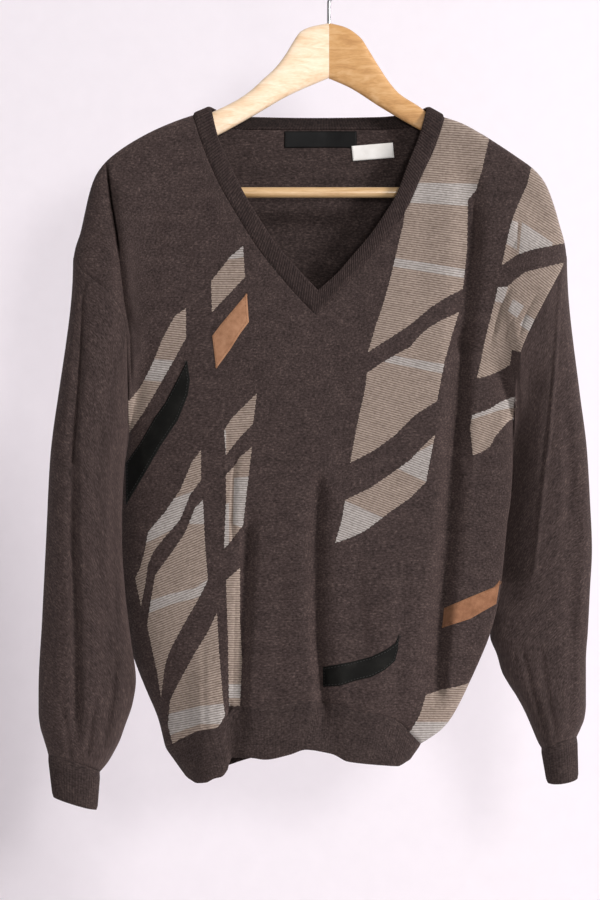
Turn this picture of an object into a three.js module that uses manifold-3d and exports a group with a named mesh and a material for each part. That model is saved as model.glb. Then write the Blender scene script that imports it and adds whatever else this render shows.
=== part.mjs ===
// A V-neck sweater of fine wool knit, hung on a contoured wooden hanger with a trouser bar.
// Millimetres, +Z up, +X to the wearer's left, the garment's front towards -Y.
// The origin is the inner top of the hook, where a rail would carry it.
import * as THREE from "three";
import Module from "manifold-3d";
import { mergeVertices } from "three/addons/utils/BufferGeometryUtils.js";

// Wall, seams and ribs
const KNIT = 2.0;
const BAND_THICK = 3.0;
const PATCH_THICK = 1.3;
const LABEL_THICK = 0.6;
const SEAM_GAP = 0.3;
const BAND_GAP = 0.6;
const ARMHOLE_GAP = 0.4;
const RIB_PITCH = 9.0;
const RIB_RAISED = 0.9;

// The shape is laid out as it is seen square on: across and down in millimetres, measured in the
// hook's plane from a corner datum, with a depth behind that plane. Nearer parts are drawn in
// towards the eye, so that they keep their real size.
const DATUM = { x: -329, z: -49 };
const EYE = { x: -29, z: -499, distance: 2000 };
const MIDDLE = -DATUM.x;

// Corners where the seams meet, across and down, and the height of the underarms
const TIP_LEFT = [73, 258];
const TIP_RIGHT = [567, 256];
const NECK_POINT_LEFT = [192, 115];
const NECK_POINT_RIGHT = [445, 117];
const V_POINT = [316, 315];
const HEM_LEFT = [165, 747];
const HEM_RIGHT = [421, 744];
const HEM_EDGE_LEFT = 188;
const HEM_EDGE_RIGHT = 409;
const UNDERARM_LEFT = [128, 426];
const UNDERARM_RIGHT = [513, 424];

// Grid of the panels and sleeves
const SHOULDER_STEPS = [0, 0.12, 0.26, 0.42, 0.58, 0.74, 0.88, 1];
const NECK_STEPS = [0, 0.014, 0.032, 0.06, 0.11, 0.2, 0.36, 0.56, 0.78, 1];
const BAND_STEPS = [0, 0.012, 0.025, 0.04, 0.06, 0.09, 0.13, 0.2, 0.3, 0.4, 0.5, 0.6, 0.7, 0.8, 0.9, 1];
const NECK_STEPS_BACK = [0, 0.04, 0.1, 0.3, 0.62, 1];
const ROWS_BELOW_ARM = 14;
const ARMHOLE_HEIGHTS = [0.705, 0.755, 0.805, 0.855, 0.9, 0.938, 0.964, 0.981, 0.9925, 0.998, 1];
const UNDERARM = 0.656;
const YOKE = 0.85;
const NECK_HEIGHT = 0.9;
const SLEEVE_ROWS = 19;
const SLEEVE_ROWS_GATHER = 1.15;
// The share of a sleeve's length over which its armhole ring settles into its own oval
const SLEEVE_SETTLES = 0.35;
// How quickly the pull of the sides on the columns fades towards the middle
const SIDE_PULL = 5;

// Shoulder line and drop shoulder, from the left armhole seam over the hanger to the right one
const SHOULDER_LEFT = [
  TIP_LEFT, [75, 248], [80, 233], [84, 215], [89, 193], [95, 176], [105, 162], [120, 149.5],
  [140, 137], [160, 127], [180, 119], NECK_POINT_LEFT,
];
const SHOULDER_RIGHT = [
  NECK_POINT_RIGHT, [460, 122], [480, 132.5], [500, 145], [520, 158.5], [533, 168], [545, 182],
  [555, 207], [560, 225], [565, 243], TIP_RIGHT,
];
// Neck seam of the front, down to the point of the V, and of the back
const NECK_LEFT = [
  NECK_POINT_LEFT, [205, 152], [218, 182], [235, 212], [257, 247], [279, 275], [300, 299], V_POINT,
];
const NECK_RIGHT = [
  V_POINT, [337, 293], [354, 275], [372, 255], [387, 236], [406, 210], [422, 175], [435, 147],
  NECK_POINT_RIGHT,
];
const NECK_BACK = [
  NECK_POINT_LEFT, [198, 119], [208, 125], [225, 129], [255, 130], [V_POINT[0], 130.5], [380, 130],
  [412, 127.5], [430, 123], [439, 119.5], NECK_POINT_RIGHT,
];
// Free edge of the neckband, front and back
const BAND_EDGE_LEFT = [
  [211, 107], [218, 136], [229, 161], [241, 187], [257, 214.5], [279, 247], [300, 271], [318, 290],
];
const BAND_EDGE_RIGHT = [
  [318, 290], [337, 273], [354, 253.5], [372, 232], [387, 210], [395, 197], [408, 164],
  [421, 130], [427, 107],
];
const BAND_EDGE_BACK = [
  [211, 107], [222, 112], [238, 115.5], [255, 117], [316, 118], [380, 117], [400, 115],
  [417, 111], [427, 107],
];
// Seam between the front and its ribbed hem, and the hem's own lower edge
const HEM_SEAM_FRONT = [
  HEM_LEFT, [178, 741], [198, 731], [216, 728], [226, 717], [236, 707], [256, 708], [300, 701],
  [331, 704], [360, 712], [385, 716], [400, 723], [412, 735], HEM_RIGHT,
];
const HEM_EDGE_FRONT = [
  [HEM_EDGE_LEFT, 779], [197, 783.5], [205, 783], [214, 779], [222, 777], [228, 770], [232, 758],
  [248, 758], [265, 760], [290, 755], [306, 750], [331, 754], [348, 762], [380, 765.5],
  [398, 766.5], [HEM_EDGE_RIGHT, 761],
];
const HEM_SEAM_BACK = [HEM_LEFT, [200, 733], [260, 712], [331, 704], [385, 716], HEM_RIGHT];
const HEM_EDGE_BACK = [
  [HEM_EDGE_LEFT, 779], [220, 768], [260, 756], [331, 748], [385, 756], [HEM_EDGE_RIGHT, 761],
];

// Sides of the front, down to across: side seam from the hem to the underarm, then the armhole
const SIDE_LEFT = [
  [747, 165], [719, 158], [690, 146], [665, 136], [640, 128], [600, 121], [560, 117], [520, 116],
  [480, 120], [450, 125], [426, 128], [400, 128], [360, 127.5], [330, 126], [306, 119], [297, 112],
  [287, 103], [279, 92], [268, 80], [258, 73],
];
const SIDE_RIGHT = [
  [744, 421], [731, 440], [720, 450], [703, 460], [682, 470], [660, 480], [635, 490], [605, 498],
  [570, 503], [520, 508], [500, 511], [460, 513], [424, 513], [405, 515.5], [385, 516], [368, 517],
  [351, 521], [325, 532], [300, 545], [268, 562], [256, 567],
];
const ARMHOLE_BACK_LEFT = [
  [426, 128], [400, 122], [360, 112], [330, 104], [300, 92], [280, 82], [265, 76], [258, 73],
];
const ARMHOLE_BACK_RIGHT = [
  [424, 513], [405, 517], [368, 524], [330, 535], [300, 548], [275, 560], [256, 567],
];
// Depth of those sides, down to depth
const SIDE_DEPTH_LEFT = [
  [747, -34], [690, -22], [600, -12], [500, -10], [450, -16], [426, -30], [400, -46], [360, -54],
  [330, -59], [306, -68], [287, -74], [270, -66], [258, -46],
];
const SIDE_DEPTH_RIGHT = [
  [744, -44], [690, -46], [600, -50], [500, -52], [460, -50], [440, -43], [424, -32], [405, -46],
  [368, -62], [351, -72], [300, -76], [270, -64], [256, -46],
];
const ARMHOLE_DEPTH_LEFT = [
  [426, -30], [400, -22], [360, -16], [320, -14], [285, -17], [268, -28], [258, -46],
];
const ARMHOLE_DEPTH_RIGHT = [
  [424, -32], [405, -22], [368, -13], [320, -9], [285, -14], [268, -27], [256, -46],
];
// Depth of the middle of the front and the back
const FRONT_DEPTH = [
  [790, -84], [755, -86], [700, -94], [600, -92], [500, -86], [400, -78], [300, -70], [200, -62],
  [110, -56],
];
const BACK_DEPTH = [
  [790, 6], [755, 8], [700, 12], [600, 16], [500, 18], [400, 18], [300, 16], [200, 14], [110, 12],
];

// The ridge where the cloth lies over the hanger: how much further the drop shoulders come forward,
// the round of the cloth, and how far below it the cloth has swung out to the body's own depth
const RIDGE_ROUND = [
  [73, 26], [92, 18], [107, 13], [200, 13.5], [458, 13.5], [552, 13], [562, 19], [567, 26],
];
const DROP_FORWARD = 5;
const DROP_FROM = 220;
const DROP_TO = 256;
const RIDGE_REACH = [[73, 40], [107, 60], [150, 105], [500, 105], [552, 60], [567, 40]];

// Large folds of the front and the back: a line of across and down, half width, and depth pushed in
const FRONT_FOLDS = [
  {
    line: [[107, 160], [110, 202], [114, 225], [117, 245], [121, 280], [123, 300], [128, 325]],
    wide: 9,
    deep: 15,
  },
  {
    line: [[464, 150], [470, 205], [468, 260], [461, 340], [455, 420], [449, 540], [436, 640], [428, 700]],
    wide: 21,
    deep: 13,
  },
  { line: [[318, 470], [317, 560], [320, 640], [329, 715], [334, 760]], wide: 19, deep: 9 },
  { line: [[250, 500], [246, 570], [240, 650], [233, 715], [233, 770]], wide: 15, deep: 10 },
  { line: [[205, 640], [206, 700], [206, 790]], wide: 24, deep: -8 },
  { line: [[390, 560], [385, 650], [372, 740]], wide: 34, deep: -6 },
];
const BACK_FOLDS = [
  { line: [[190, 260], [200, 420], [215, 600], [225, 770]], wide: 26, deep: -10 },
  { line: [[330, 330], [335, 500], [330, 770]], wide: 30, deep: -8 },
  { line: [[455, 260], [440, 420], [415, 600], [395, 770]], wide: 26, deep: -10 },
];
const FOLD_FADE = 45;
const FOLDS_BELOW_RIDGE = 20;

// Sleeves: outer and inner outline, middle depth and half depth, each down to a value
const SLEEVE_LEFT = {
  outer: [
    [258, 73], [280, 71], [330, 65], [400, 57], [460, 50], [540, 46], [620, 42], [690, 38.5],
    [712, 38.5], [726, 40], [740, 44], [755, 48], [772, 49],
  ],
  inner: [
    [426, 128], [445, 124], [480, 121.5], [540, 122], [590, 125], [640, 131], [680, 136], [702, 133],
    [726, 125], [740, 120], [752, 114], [762, 108], [772, 100],
  ],
  depth: [[258, -46], [330, -50], [430, -60], [550, -62], [680, -58], [772, -50]],
  round: [[258, 26], [330, 29], [430, 32], [550, 33], [680, 34], [735, 31], [757, 25], [772, 22]],
  seam: [755, 772],
  side: -1,
};
const SLEEVE_RIGHT = {
  outer: [
    [256, 567], [290, 570], [330, 574], [370, 578], [400, 581], [450, 587], [500, 590], [550, 592],
    [590, 590], [630, 588], [660, 586], [705, 586], [718, 584.5], [730, 580], [737, 577], [748, 575],
  ],
  inner: [
    [424, 513], [445, 510], [470, 507], [500, 504], [550, 498], [600, 492], [635, 490], [655, 497],
    [672, 502], [683, 508], [697, 517], [712, 525], [728, 532], [740, 537], [748, 541],
  ],
  depth: [[256, -46], [330, -38], [424, -20], [460, -13], [550, -8], [680, -12], [748, -20]],
  round: [[256, 26], [330, 30], [430, 30], [550, 28], [680, 31], [718, 32], [737, 29], [748, 27]],
  seam: [737, 748],
  side: 1,
};
const SLEEVE_FOLDS_LEFT = [
  { line: [[85, 262], [83, 310], [79, 370], [73, 430], [72, 520], [76, 620], [76, 740]], wide: 9, deep: 6 },
  { line: [[110, 560], [108, 650], [104, 735]], wide: 16, deep: 5 },
];
const SLEEVE_FOLDS_RIGHT = [
  { line: [[538, 350], [530, 395], [522, 430], [516, 500], [514, 560]], wide: 15, deep: 15 },
  { line: [[570, 430], [573, 540], [568, 640]], wide: 12, deep: 4 },
];
// Cuffs: the free edge from its outer to its inner corner, and half of its depth
const CUFF_LEFT = { outer: [53, 797], inner: [97, 809.5], depth: -50, round: 21, sag: 2 };
const CUFF_RIGHT = { outer: [578, 778], inner: [547, 782], depth: -22, round: 27, sag: 4 };

// Hanger of beech: two halves glued at the middle, a bar, and a steel wire hook
const ARM_SWEEP = 0.16;
const ARM_THICK_MIDDLE = 12;
const ARM_THICK_TIP = 16;
const ARM_TIP_LEFT = 115;
const ARM_TIP_RIGHT = 541;
const ARM_TIP_ROUND = 9;
const ARM_TIP_LOWER = 0.55;
const ARM_TIP_THINNER = 0.5;
const ARM_SIDES = 12;
// The power that squares an arm's oval section, 1 for a plain oval
const ARM_EDGE = 0.7;
const WOOD_CLEARANCE = 0.4;
const ARM_TOP_LEFT = [
  [329, 23], [310, 27], [300, 32], [293, 42], [285, 55], [275, 68], [262, 80], [250, 91], [235, 101],
  [212, 112], [192, 119.2],
];
const ARM_UNDER_LEFT = [
  [329, 78], [290, 95], [255, 115], [217, 136], [190, 149], [165, 161], [150, 176], [139, 193],
  [127, 201], [115, 199],
];
const ARM_TOP_RIGHT = [
  [330, 23], [345, 27], [360, 37], [370, 52], [378, 65], [390, 83], [400, 94], [420, 107],
  [427, 112.6], [436, 118.2], [445, 122.5],
];
const ARM_UNDER_RIGHT = [
  [330, 79], [350, 88], [380, 107], [420, 130], [460, 148], [495, 163], [504, 175], [517, 193],
  [529, 201], [541, 199],
];
const BAR = { radius: 5.2, from: 128, to: 528, down: 192.5, depth: -32, sides: 20 };
const HOOK = { wire: 4, inner: 20, stemFoot: -74, stemTop: -52, sides: 8, steps: 40 };

// Labels sewn to the inside of the back, left blank
const NECK_LABEL = { across: 320.5, down: 139.8, width: 73, height: 16.5, tilt: 0 };
const NAME_LABEL = { across: 373, down: 152, width: 41.5, height: 15, tilt: 0.09 };

// Leather and suede patches on the front: outlines of across and down
const PATCHES = {
  suede_patch_upper: [
    [247, 293], [249, 322], [240, 334], [230, 350], [216, 369], [212, 336], [220, 325], [231, 312],
  ],
  suede_patch_lower: [
    [500, 580], [494, 587], [465, 599], [444, 608], [442, 628], [470, 619], [496, 604],
  ],
  leather_patch_left: [
    [187, 360], [190, 380], [188, 395], [178, 420], [160, 447], [140, 482], [126, 505], [126, 463],
    [140, 443], [155, 417], [165, 403], [178, 378],
  ],
  leather_patch_right: [
    [399, 634], [395, 643], [385, 650], [370, 657], [350, 662], [323, 667], [323, 687], [340, 686],
    [355, 681], [372, 677], [385, 670], [395, 661], [398, 650],
  ],
};

const clamp = (t) => Math.min(1, Math.max(0, t));
const mix = (a, b, t) => a + (b - a) * t;
const ease = (from, to, value) => {
  const t = clamp((value - from) / (to - from));
  return t * t * (3 - 2 * t);
};

// A smooth curve through [key, value] pairs that never overshoots them
function through(pairs, key) {
  const rising = pairs[1][0] > pairs[0][0];
  const list = rising ? pairs : [...pairs].reverse();
  if (key <= list[0][0]) return list[0][1];
  if (key >= list[list.length - 1][0]) return list[list.length - 1][1];
  let i = 0;
  while (key > list[i + 1][0]) i++;
  const slope = (k) => (list[k + 1][1] - list[k][1]) / (list[k + 1][0] - list[k][0]);
  const bend = (k) => {
    if (k === 0) return slope(0);
    if (k === list.length - 1) return slope(k - 1);
    const before = slope(k - 1);
    const after = slope(k);
    return before * after <= 0 ? 0 : (2 * before * after) / (before + after);
  };
  const span = list[i + 1][0] - list[i][0];
  const t = (key - list[i][0]) / span;
  const rise = list[i + 1][1] - list[i][1];
  const a = bend(i) * span - rise;
  const b = rise - bend(i + 1) * span;
  return list[i][1] + rise * t + t * (1 - t) * (a * (1 - t) + b * t);
}

// Nearest point of a line of across and down: its distance and how far along it lies
function nearest(line, across, down) {
  let best = { distance: Infinity, along: 0, at: line[0] };
  let length = 0;
  for (let i = 0; i + 1 < line.length; i++) {
    const [ax, ay] = line[i];
    const dx = line[i + 1][0] - ax;
    const dy = line[i + 1][1] - ay;
    const step = Math.hypot(dx, dy);
    const t = clamp(((across - ax) * dx + (down - ay) * dy) / (step * step));
    const distance = Math.hypot(across - ax - dx * t, down - ay - dy * t);
    const at = [ax + dx * t, ay + dy * t];
    if (distance < best.distance) best = { distance, along: length + step * t, at };
    length += step;
  }
  return { ...best, length };
}

// How far the folds push the cloth in at a place
function foldsAt(folds, across, down) {
  let pushed = 0;
  for (const fold of folds) {
    const { distance, along, length } = nearest(fold.line, across, down);
    if (distance >= fold.wide) continue;
    const profile = Math.cos((distance / fold.wide) * Math.PI) / 2 + 0.5;
    const start = ease(0, FOLD_FADE, along);
    const end = ease(0, FOLD_FADE, length - along + FOLD_FADE / 2);
    pushed += fold.deep * profile * start * end;
  }
  return pushed;
}

// From what is seen square on to a point of the part
function place({ across, down, depth }) {
  const near = 1 + depth / EYE.distance;
  const x = EYE.x + (DATUM.x + across - EYE.x) * near;
  const z = EYE.z + (DATUM.z - down - EYE.z) * near;
  return new THREE.Vector3(x, depth, z);
}

// Body panels
const RIDGE = [...SHOULDER_LEFT, BAND_EDGE_LEFT[0], BAND_EDGE_RIGHT.at(-1), ...SHOULDER_RIGHT];

const FRONT = {
  left: SIDE_LEFT,
  right: SIDE_RIGHT,
  depthLeft: SIDE_DEPTH_LEFT,
  depthRight: SIDE_DEPTH_RIGHT,
  middle: FRONT_DEPTH,
  neck: [...NECK_LEFT, ...NECK_RIGHT.slice(1)],
  hem: HEM_SEAM_FRONT,
  neckSteps: NECK_STEPS,
  folds: FRONT_FOLDS,
  facing: -1,
};
const belowArm = (list, underarm) => list.filter(([down]) => down > underarm[1]);
const BACK = {
  left: [...belowArm(SIDE_LEFT, UNDERARM_LEFT), ...ARMHOLE_BACK_LEFT],
  right: [...belowArm(SIDE_RIGHT, UNDERARM_RIGHT), ...ARMHOLE_BACK_RIGHT],
  depthLeft: [...belowArm(SIDE_DEPTH_LEFT, UNDERARM_LEFT), ...ARMHOLE_DEPTH_LEFT],
  depthRight: [...belowArm(SIDE_DEPTH_RIGHT, UNDERARM_RIGHT), ...ARMHOLE_DEPTH_RIGHT],
  middle: BACK_DEPTH,
  neck: NECK_BACK,
  hem: HEM_SEAM_BACK,
  neckSteps: NECK_STEPS_BACK,
  folds: BACK_FOLDS,
  facing: 1,
};

// The point at a share of the length of a line of across and down
function alongLine(line, share) {
  const { point } = alongPoints(line.map(([across, down]) => new THREE.Vector3(across, down, 0)), share);
  return [point.x, point.y];
}

// Each column runs from a place on the hem to a place on the shoulder and neck line
function columnsOf(panel) {
  const back = (steps) => [...steps].reverse().map((t) => 1 - t);
  const half = panel.neck.findIndex(([across]) => across === V_POINT[0]);
  const lines = [
    [SHOULDER_LEFT, SHOULDER_STEPS],
    [panel.neck.slice(0, half + 1), panel.neckSteps],
    [panel.neck.slice(half), back(panel.neckSteps)],
    [SHOULDER_RIGHT, back(SHOULDER_STEPS)],
  ];
  const tops = lines.flatMap(([line, steps], k) => {
    const shares = steps.slice(k ? 1 : 0);
    return shares.map((t) => alongLine(line, t));
  });
  return tops.map((top, j) => ({ u: (2 * j) / (tops.length - 1) - 1, top }));
}

// Depth of the ridge: the arms sweep forward, and past their tips the cloth hangs a little further on
function ridgeDepth(across) {
  const x = Math.abs(across - MIDDLE);
  return -ARM_SWEEP * x - DROP_FORWARD * ease(DROP_FROM, DROP_TO, x);
}

// Down along the left and the right side at a height of the panel, 0 at the hem and 1 at the tips
const leftDown = (v) => mix(HEM_LEFT[1], TIP_LEFT[1], v);
const rightDown = (v) => mix(HEM_RIGHT[1], TIP_RIGHT[1], v);

// Depth of a panel at a place, with its share of the way across and its height
function panelDepth(panel, across, down, share, v) {
  const left = through(panel.depthLeft, leftDown(v));
  const right = through(panel.depthRight, rightDown(v));
  const side = mix(left, right, share);
  const s = 2 * share - 1;
  const round = Math.sqrt(Math.max(0, 1 - s * s));
  const flat = 1 - Math.pow(s, 4);
  const form = mix(round, flat, ease(UNDERARM, YOKE, v));
  const body = side + (through(panel.middle, down) - side) * form;
  const { distance, at } = nearest(RIDGE, across, down);
  const radius = through(RIDGE_ROUND, at[0]);
  const lift = 1 - Math.min(distance / radius, 1);
  const hung = ridgeDepth(at[0]) + panel.facing * radius * Math.sqrt(1 - lift * lift);
  const open = ease(0, through(RIDGE_REACH, at[0]), distance);
  const folded = foldsAt(panel.folds, across, down) * ease(0, FOLDS_BELOW_RIDGE, distance);
  return mix(hung, body, open) - panel.facing * folded;
}

// A column starts on the hem at its share of the way across, closer together towards the sides
const hemShare = (u) => (1 + Math.sin((u * Math.PI) / 2)) / 2;
const shoulderShare = (across) => (across - TIP_LEFT[0]) / (TIP_RIGHT[0] - TIP_LEFT[0]);

function panelPoint(panel, { u, top }, v) {
  const share = mix(hemShare(u), shoulderShare(top[0]), v);
  const left = through(panel.left, leftDown(v));
  const right = through(panel.right, rightDown(v));
  const leftPull = (left - mix(HEM_LEFT[0], TIP_LEFT[0], v)) * (1 - share) ** SIDE_PULL;
  const rightPull = (right - mix(HEM_RIGHT[0], TIP_RIGHT[0], v)) * share ** SIDE_PULL;
  const start = mix(HEM_LEFT[0], HEM_RIGHT[0], hemShare(u));
  const across = mix(start, top[0], v) + leftPull + rightPull;
  const down = mix(through(panel.hem, start), top[1], v);
  const covered = clamp((across - left) / (right - left));
  return { across, down, depth: panelDepth(panel, across, down, covered, v) };
}

const ROW_HEIGHTS = [];
for (let i = 0; i <= ROWS_BELOW_ARM; i++) ROW_HEIGHTS.push((UNDERARM * i) / ROWS_BELOW_ARM);
ROW_HEIGHTS.push(...ARMHOLE_HEIGHTS);
const LAST_ROW = ROW_HEIGHTS.length - 1;

function panelGrid(panel) {
  panel.columns = columnsOf(panel);
  panel.last = panel.columns.length - 1;
  panel.grid = ROW_HEIGHTS.map((v) => panel.columns.map((column) => place(panelPoint(panel, column, v))));
}

// Grids of points, row by row, made into closed walls
function gridNormals(grid, closed) {
  const rows = grid.length;
  const columns = grid[0].length;
  const normals = grid.map((row) => row.map(() => new THREE.Vector3()));
  for (let i = 0; i + 1 < rows; i++) {
    for (let j = 0; j < (closed ? columns : columns - 1); j++) {
      const k = (j + 1) % columns;
      const across = grid[i + 1][k].clone().sub(grid[i][j]);
      const back = grid[i + 1][j].clone().sub(grid[i][k]);
      const face = across.cross(back);
      for (const n of [normals[i][j], normals[i][k], normals[i + 1][j], normals[i + 1][k]]) n.add(face);
    }
  }
  normals.forEach((row) => row.forEach((n) => n.normalize()));
  return normals;
}

// A wall between two grids of points, closed round every edge
function wallBetween(outer, inner, closed) {
  const rows = outer.length;
  const columns = outer[0].length;
  const positions = [...outer.flat(), ...inner.flat()].flatMap((p) => [p.x, p.y, p.z]);
  const index = [];
  const at = (layer, i, j) => layer * rows * columns + i * columns + (closed ? j % columns : j);
  const quad = (a, b, c, d) => index.push(a, b, c, a, c, d);
  const last = closed ? columns : columns - 1;
  for (let j = 0; j < last; j++) {
    for (let i = 0; i + 1 < rows; i++) {
      quad(at(0, i, j), at(0, i, j + 1), at(0, i + 1, j + 1), at(0, i + 1, j));
      quad(at(1, i, j), at(1, i + 1, j), at(1, i + 1, j + 1), at(1, i, j + 1));
    }
    quad(at(1, 0, j), at(1, 0, j + 1), at(0, 0, j + 1), at(0, 0, j));
    quad(at(0, rows - 1, j), at(0, rows - 1, j + 1), at(1, rows - 1, j + 1), at(1, rows - 1, j));
  }
  for (let i = 0; !closed && i + 1 < rows; i++) {
    quad(at(0, i, 0), at(0, i + 1, 0), at(1, i + 1, 0), at(1, i, 0));
    quad(at(0, i, last), at(1, i, last), at(1, i + 1, last), at(0, i + 1, last));
  }
  const geometry = new THREE.BufferGeometry();
  geometry.setAttribute("position", new THREE.Float32BufferAttribute(positions, 3));
  geometry.setIndex(index);
  return faceOut(geometry);
}

// Turns a closed geometry's faces round where they point inwards
function faceOut(geometry) {
  const p = geometry.getAttribute("position");
  const index = geometry.getIndex().array;
  const corner = (k) => new THREE.Vector3().fromBufferAttribute(p, index[k]);
  let volume = 0;
  for (let k = 0; k < index.length; k += 3) volume += corner(k).dot(corner(k + 1).cross(corner(k + 2)));
  for (let k = 0; volume < 0 && k < index.length; k += 3) {
    [index[k + 1], index[k + 2]] = [index[k + 2], index[k + 1]];
  }
  geometry.computeVertexNormals();
  return geometry;
}

function offset(grid, normals, amount) {
  return grid.map((row, i) => row.map((p, j) => p.clone().addScaledVector(normals[i][j], amount)));
}

// The point at a share of a line's length, and the normal there where the line has normals
function alongPoints(points, share, normals) {
  const lengths = [0];
  for (let i = 1; i < points.length; i++) lengths.push(lengths[i - 1] + points[i].distanceTo(points[i - 1]));
  const want = share * lengths[lengths.length - 1];
  let i = 0;
  while (i < points.length - 2 && lengths[i + 1] < want) i++;
  const t = clamp((want - lengths[i]) / (lengths[i + 1] - lengths[i]));
  return {
    point: points[i].clone().lerp(points[i + 1], t),
    normal: normals ? normals[i].clone().lerp(normals[i + 1], t).normalize() : null,
  };
}

// Draws a line of edge points back from a seam, square to it and within the surface
function trimEdge(edge, inside, normals, closed, amount) {
  const count = edge.length;
  const moved = edge.map((p, j) => {
    const before = edge[closed ? (j + count - 1) % count : Math.max(j - 1, 0)];
    const after = edge[closed ? (j + 1) % count : Math.min(j + 1, count - 1)];
    const square = after.clone().sub(before).cross(normals[j]).normalize();
    const inward = square.dot(inside[j].clone().sub(p)) < 0 ? -amount : amount;
    return p.clone().addScaledVector(square, inward);
  });
  moved.forEach((p, j) => edge[j].copy(p));
}
function trimRow(grid, normals, row, next, closed, amount) {
  trimEdge(grid[row], grid[next], normals[row], closed, amount);
}
function trimColumn(grid, normals, column, next, amount) {
  const line = (list, j) => list.map((row) => row[j]);
  trimEdge(line(grid, column), line(grid, next), line(normals, column), false, amount);
}

panelGrid(FRONT);
panelGrid(BACK);
const NECK_FROM = SHOULDER_STEPS.length - 1;

// Normals point out of the garment, and the two panels share them at the side and shoulder seams
FRONT.normals = gridNormals(FRONT.grid, false);
BACK.normals = gridNormals(BACK.grid, false);
BACK.normals.forEach((row) => row.forEach((n) => n.negate()));
function shareNormal(a, b) {
  const middle = a.clone().add(b).normalize();
  a.copy(middle);
  b.copy(middle);
}
const belowArmhole = ROW_HEIGHTS.map((v, i) => i).filter((i) => ROW_HEIGHTS[i] < UNDERARM + 1e-6);
for (const i of belowArmhole) {
  shareNormal(FRONT.normals[i][0], BACK.normals[i][0]);
  shareNormal(FRONT.normals[i][FRONT.last], BACK.normals[i][BACK.last]);
}
for (let j = 0; j <= NECK_FROM; j++) {
  shareNormal(FRONT.normals[LAST_ROW][j], BACK.normals[LAST_ROW][j]);
  shareNormal(FRONT.normals[LAST_ROW][FRONT.last - j], BACK.normals[LAST_ROW][BACK.last - j]);
}

// Sleeve: its first ring is the armhole, and each ring below it is nearer to the sleeve's own oval
function sleevePoint(sleeve, folds, start, angle, t) {
  const seam = mix(sleeve.seam[0], sleeve.seam[1], (1 - Math.cos(angle)) / 2);
  const down = mix(start.down, seam, t);
  const outer = through(sleeve.outer, down);
  const inner = through(sleeve.inner, down);
  const oval = mix(outer, inner, (1 - Math.cos(angle)) / 2);
  const settled = 1 - (1 - Math.min(t / SLEEVE_SETTLES, 1)) ** 2;
  const across = mix(start.across, oval, settled);
  const round = through(sleeve.depth, down) - through(sleeve.round, down) * Math.sin(angle);
  const pushed = Math.sin(angle) > 0 ? foldsAt(folds, across, down) * settled : 0;
  return { across, down, depth: mix(start.depth, round, settled) + pushed };
}

function sleeveGrid(sleeve, folds) {
  const heights = ROW_HEIGHTS.filter((v) => v > UNDERARM - 1e-6);
  const end = (panel) => panel.columns[sleeve.side < 0 ? 0 : panel.last];
  const frontStart = [...heights].reverse().map((v) => panelPoint(FRONT, end(FRONT), v));
  const backStart = heights.slice(1, -1).map((v) => panelPoint(BACK, end(BACK), v));
  const starts = [...frontStart, ...backStart];
  const rows = [];
  for (let k = 0; k <= SLEEVE_ROWS; k++) {
    const t = Math.pow(k / SLEEVE_ROWS, SLEEVE_ROWS_GATHER);
    const turn = (2 * Math.PI) / starts.length;
    rows.push(starts.map((start, j) => place(sleevePoint(sleeve, folds, start, turn * j, t))));
  }
  return rows;
}

// At the armhole the sleeve and the panels share their normals, so that the walls meet edge to edge
function sleeveParts(sleeve, folds) {
  const column = (panel) => (sleeve.side < 0 ? 0 : panel.last);
  const grid = sleeveGrid(sleeve, folds);
  const normals = gridNormals(grid, true);
  if (sleeve.side < 0) normals.forEach((row) => row.forEach((n) => n.negate()));
  const heights = ROW_HEIGHTS.map((_, i) => i).filter((i) => ROW_HEIGHTS[i] > UNDERARM - 1e-6);
  const around = [
    ...[...heights].reverse().map((i) => FRONT.normals[i][column(FRONT)]),
    ...heights.slice(1, -1).map((i) => BACK.normals[i][column(BACK)]),
  ];
  around.forEach((n, j) => shareNormal(n, normals[0][j]));
  for (const i of [LAST_ROW, heights[0]]) BACK.normals[i][column(BACK)].copy(FRONT.normals[i][column(FRONT)]);
  return { grid, normals, end: grid[SLEEVE_ROWS].map((p) => p.clone()), endNormals: normals[SLEEVE_ROWS] };
}

function sleeveWall({ grid, normals }) {
  trimRow(grid, normals, 0, 4, true, ARMHOLE_GAP);
  trimRow(grid, normals, SLEEVE_ROWS, SLEEVE_ROWS - 1, true, SEAM_GAP / 2);
  return wallBetween(grid, offset(grid, normals, -KNIT), true);
}

const lineLength = (points) => points.reduce((sum, p, i) => sum + (i ? p.distanceTo(points[i - 1]) : 0), 0);

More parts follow.
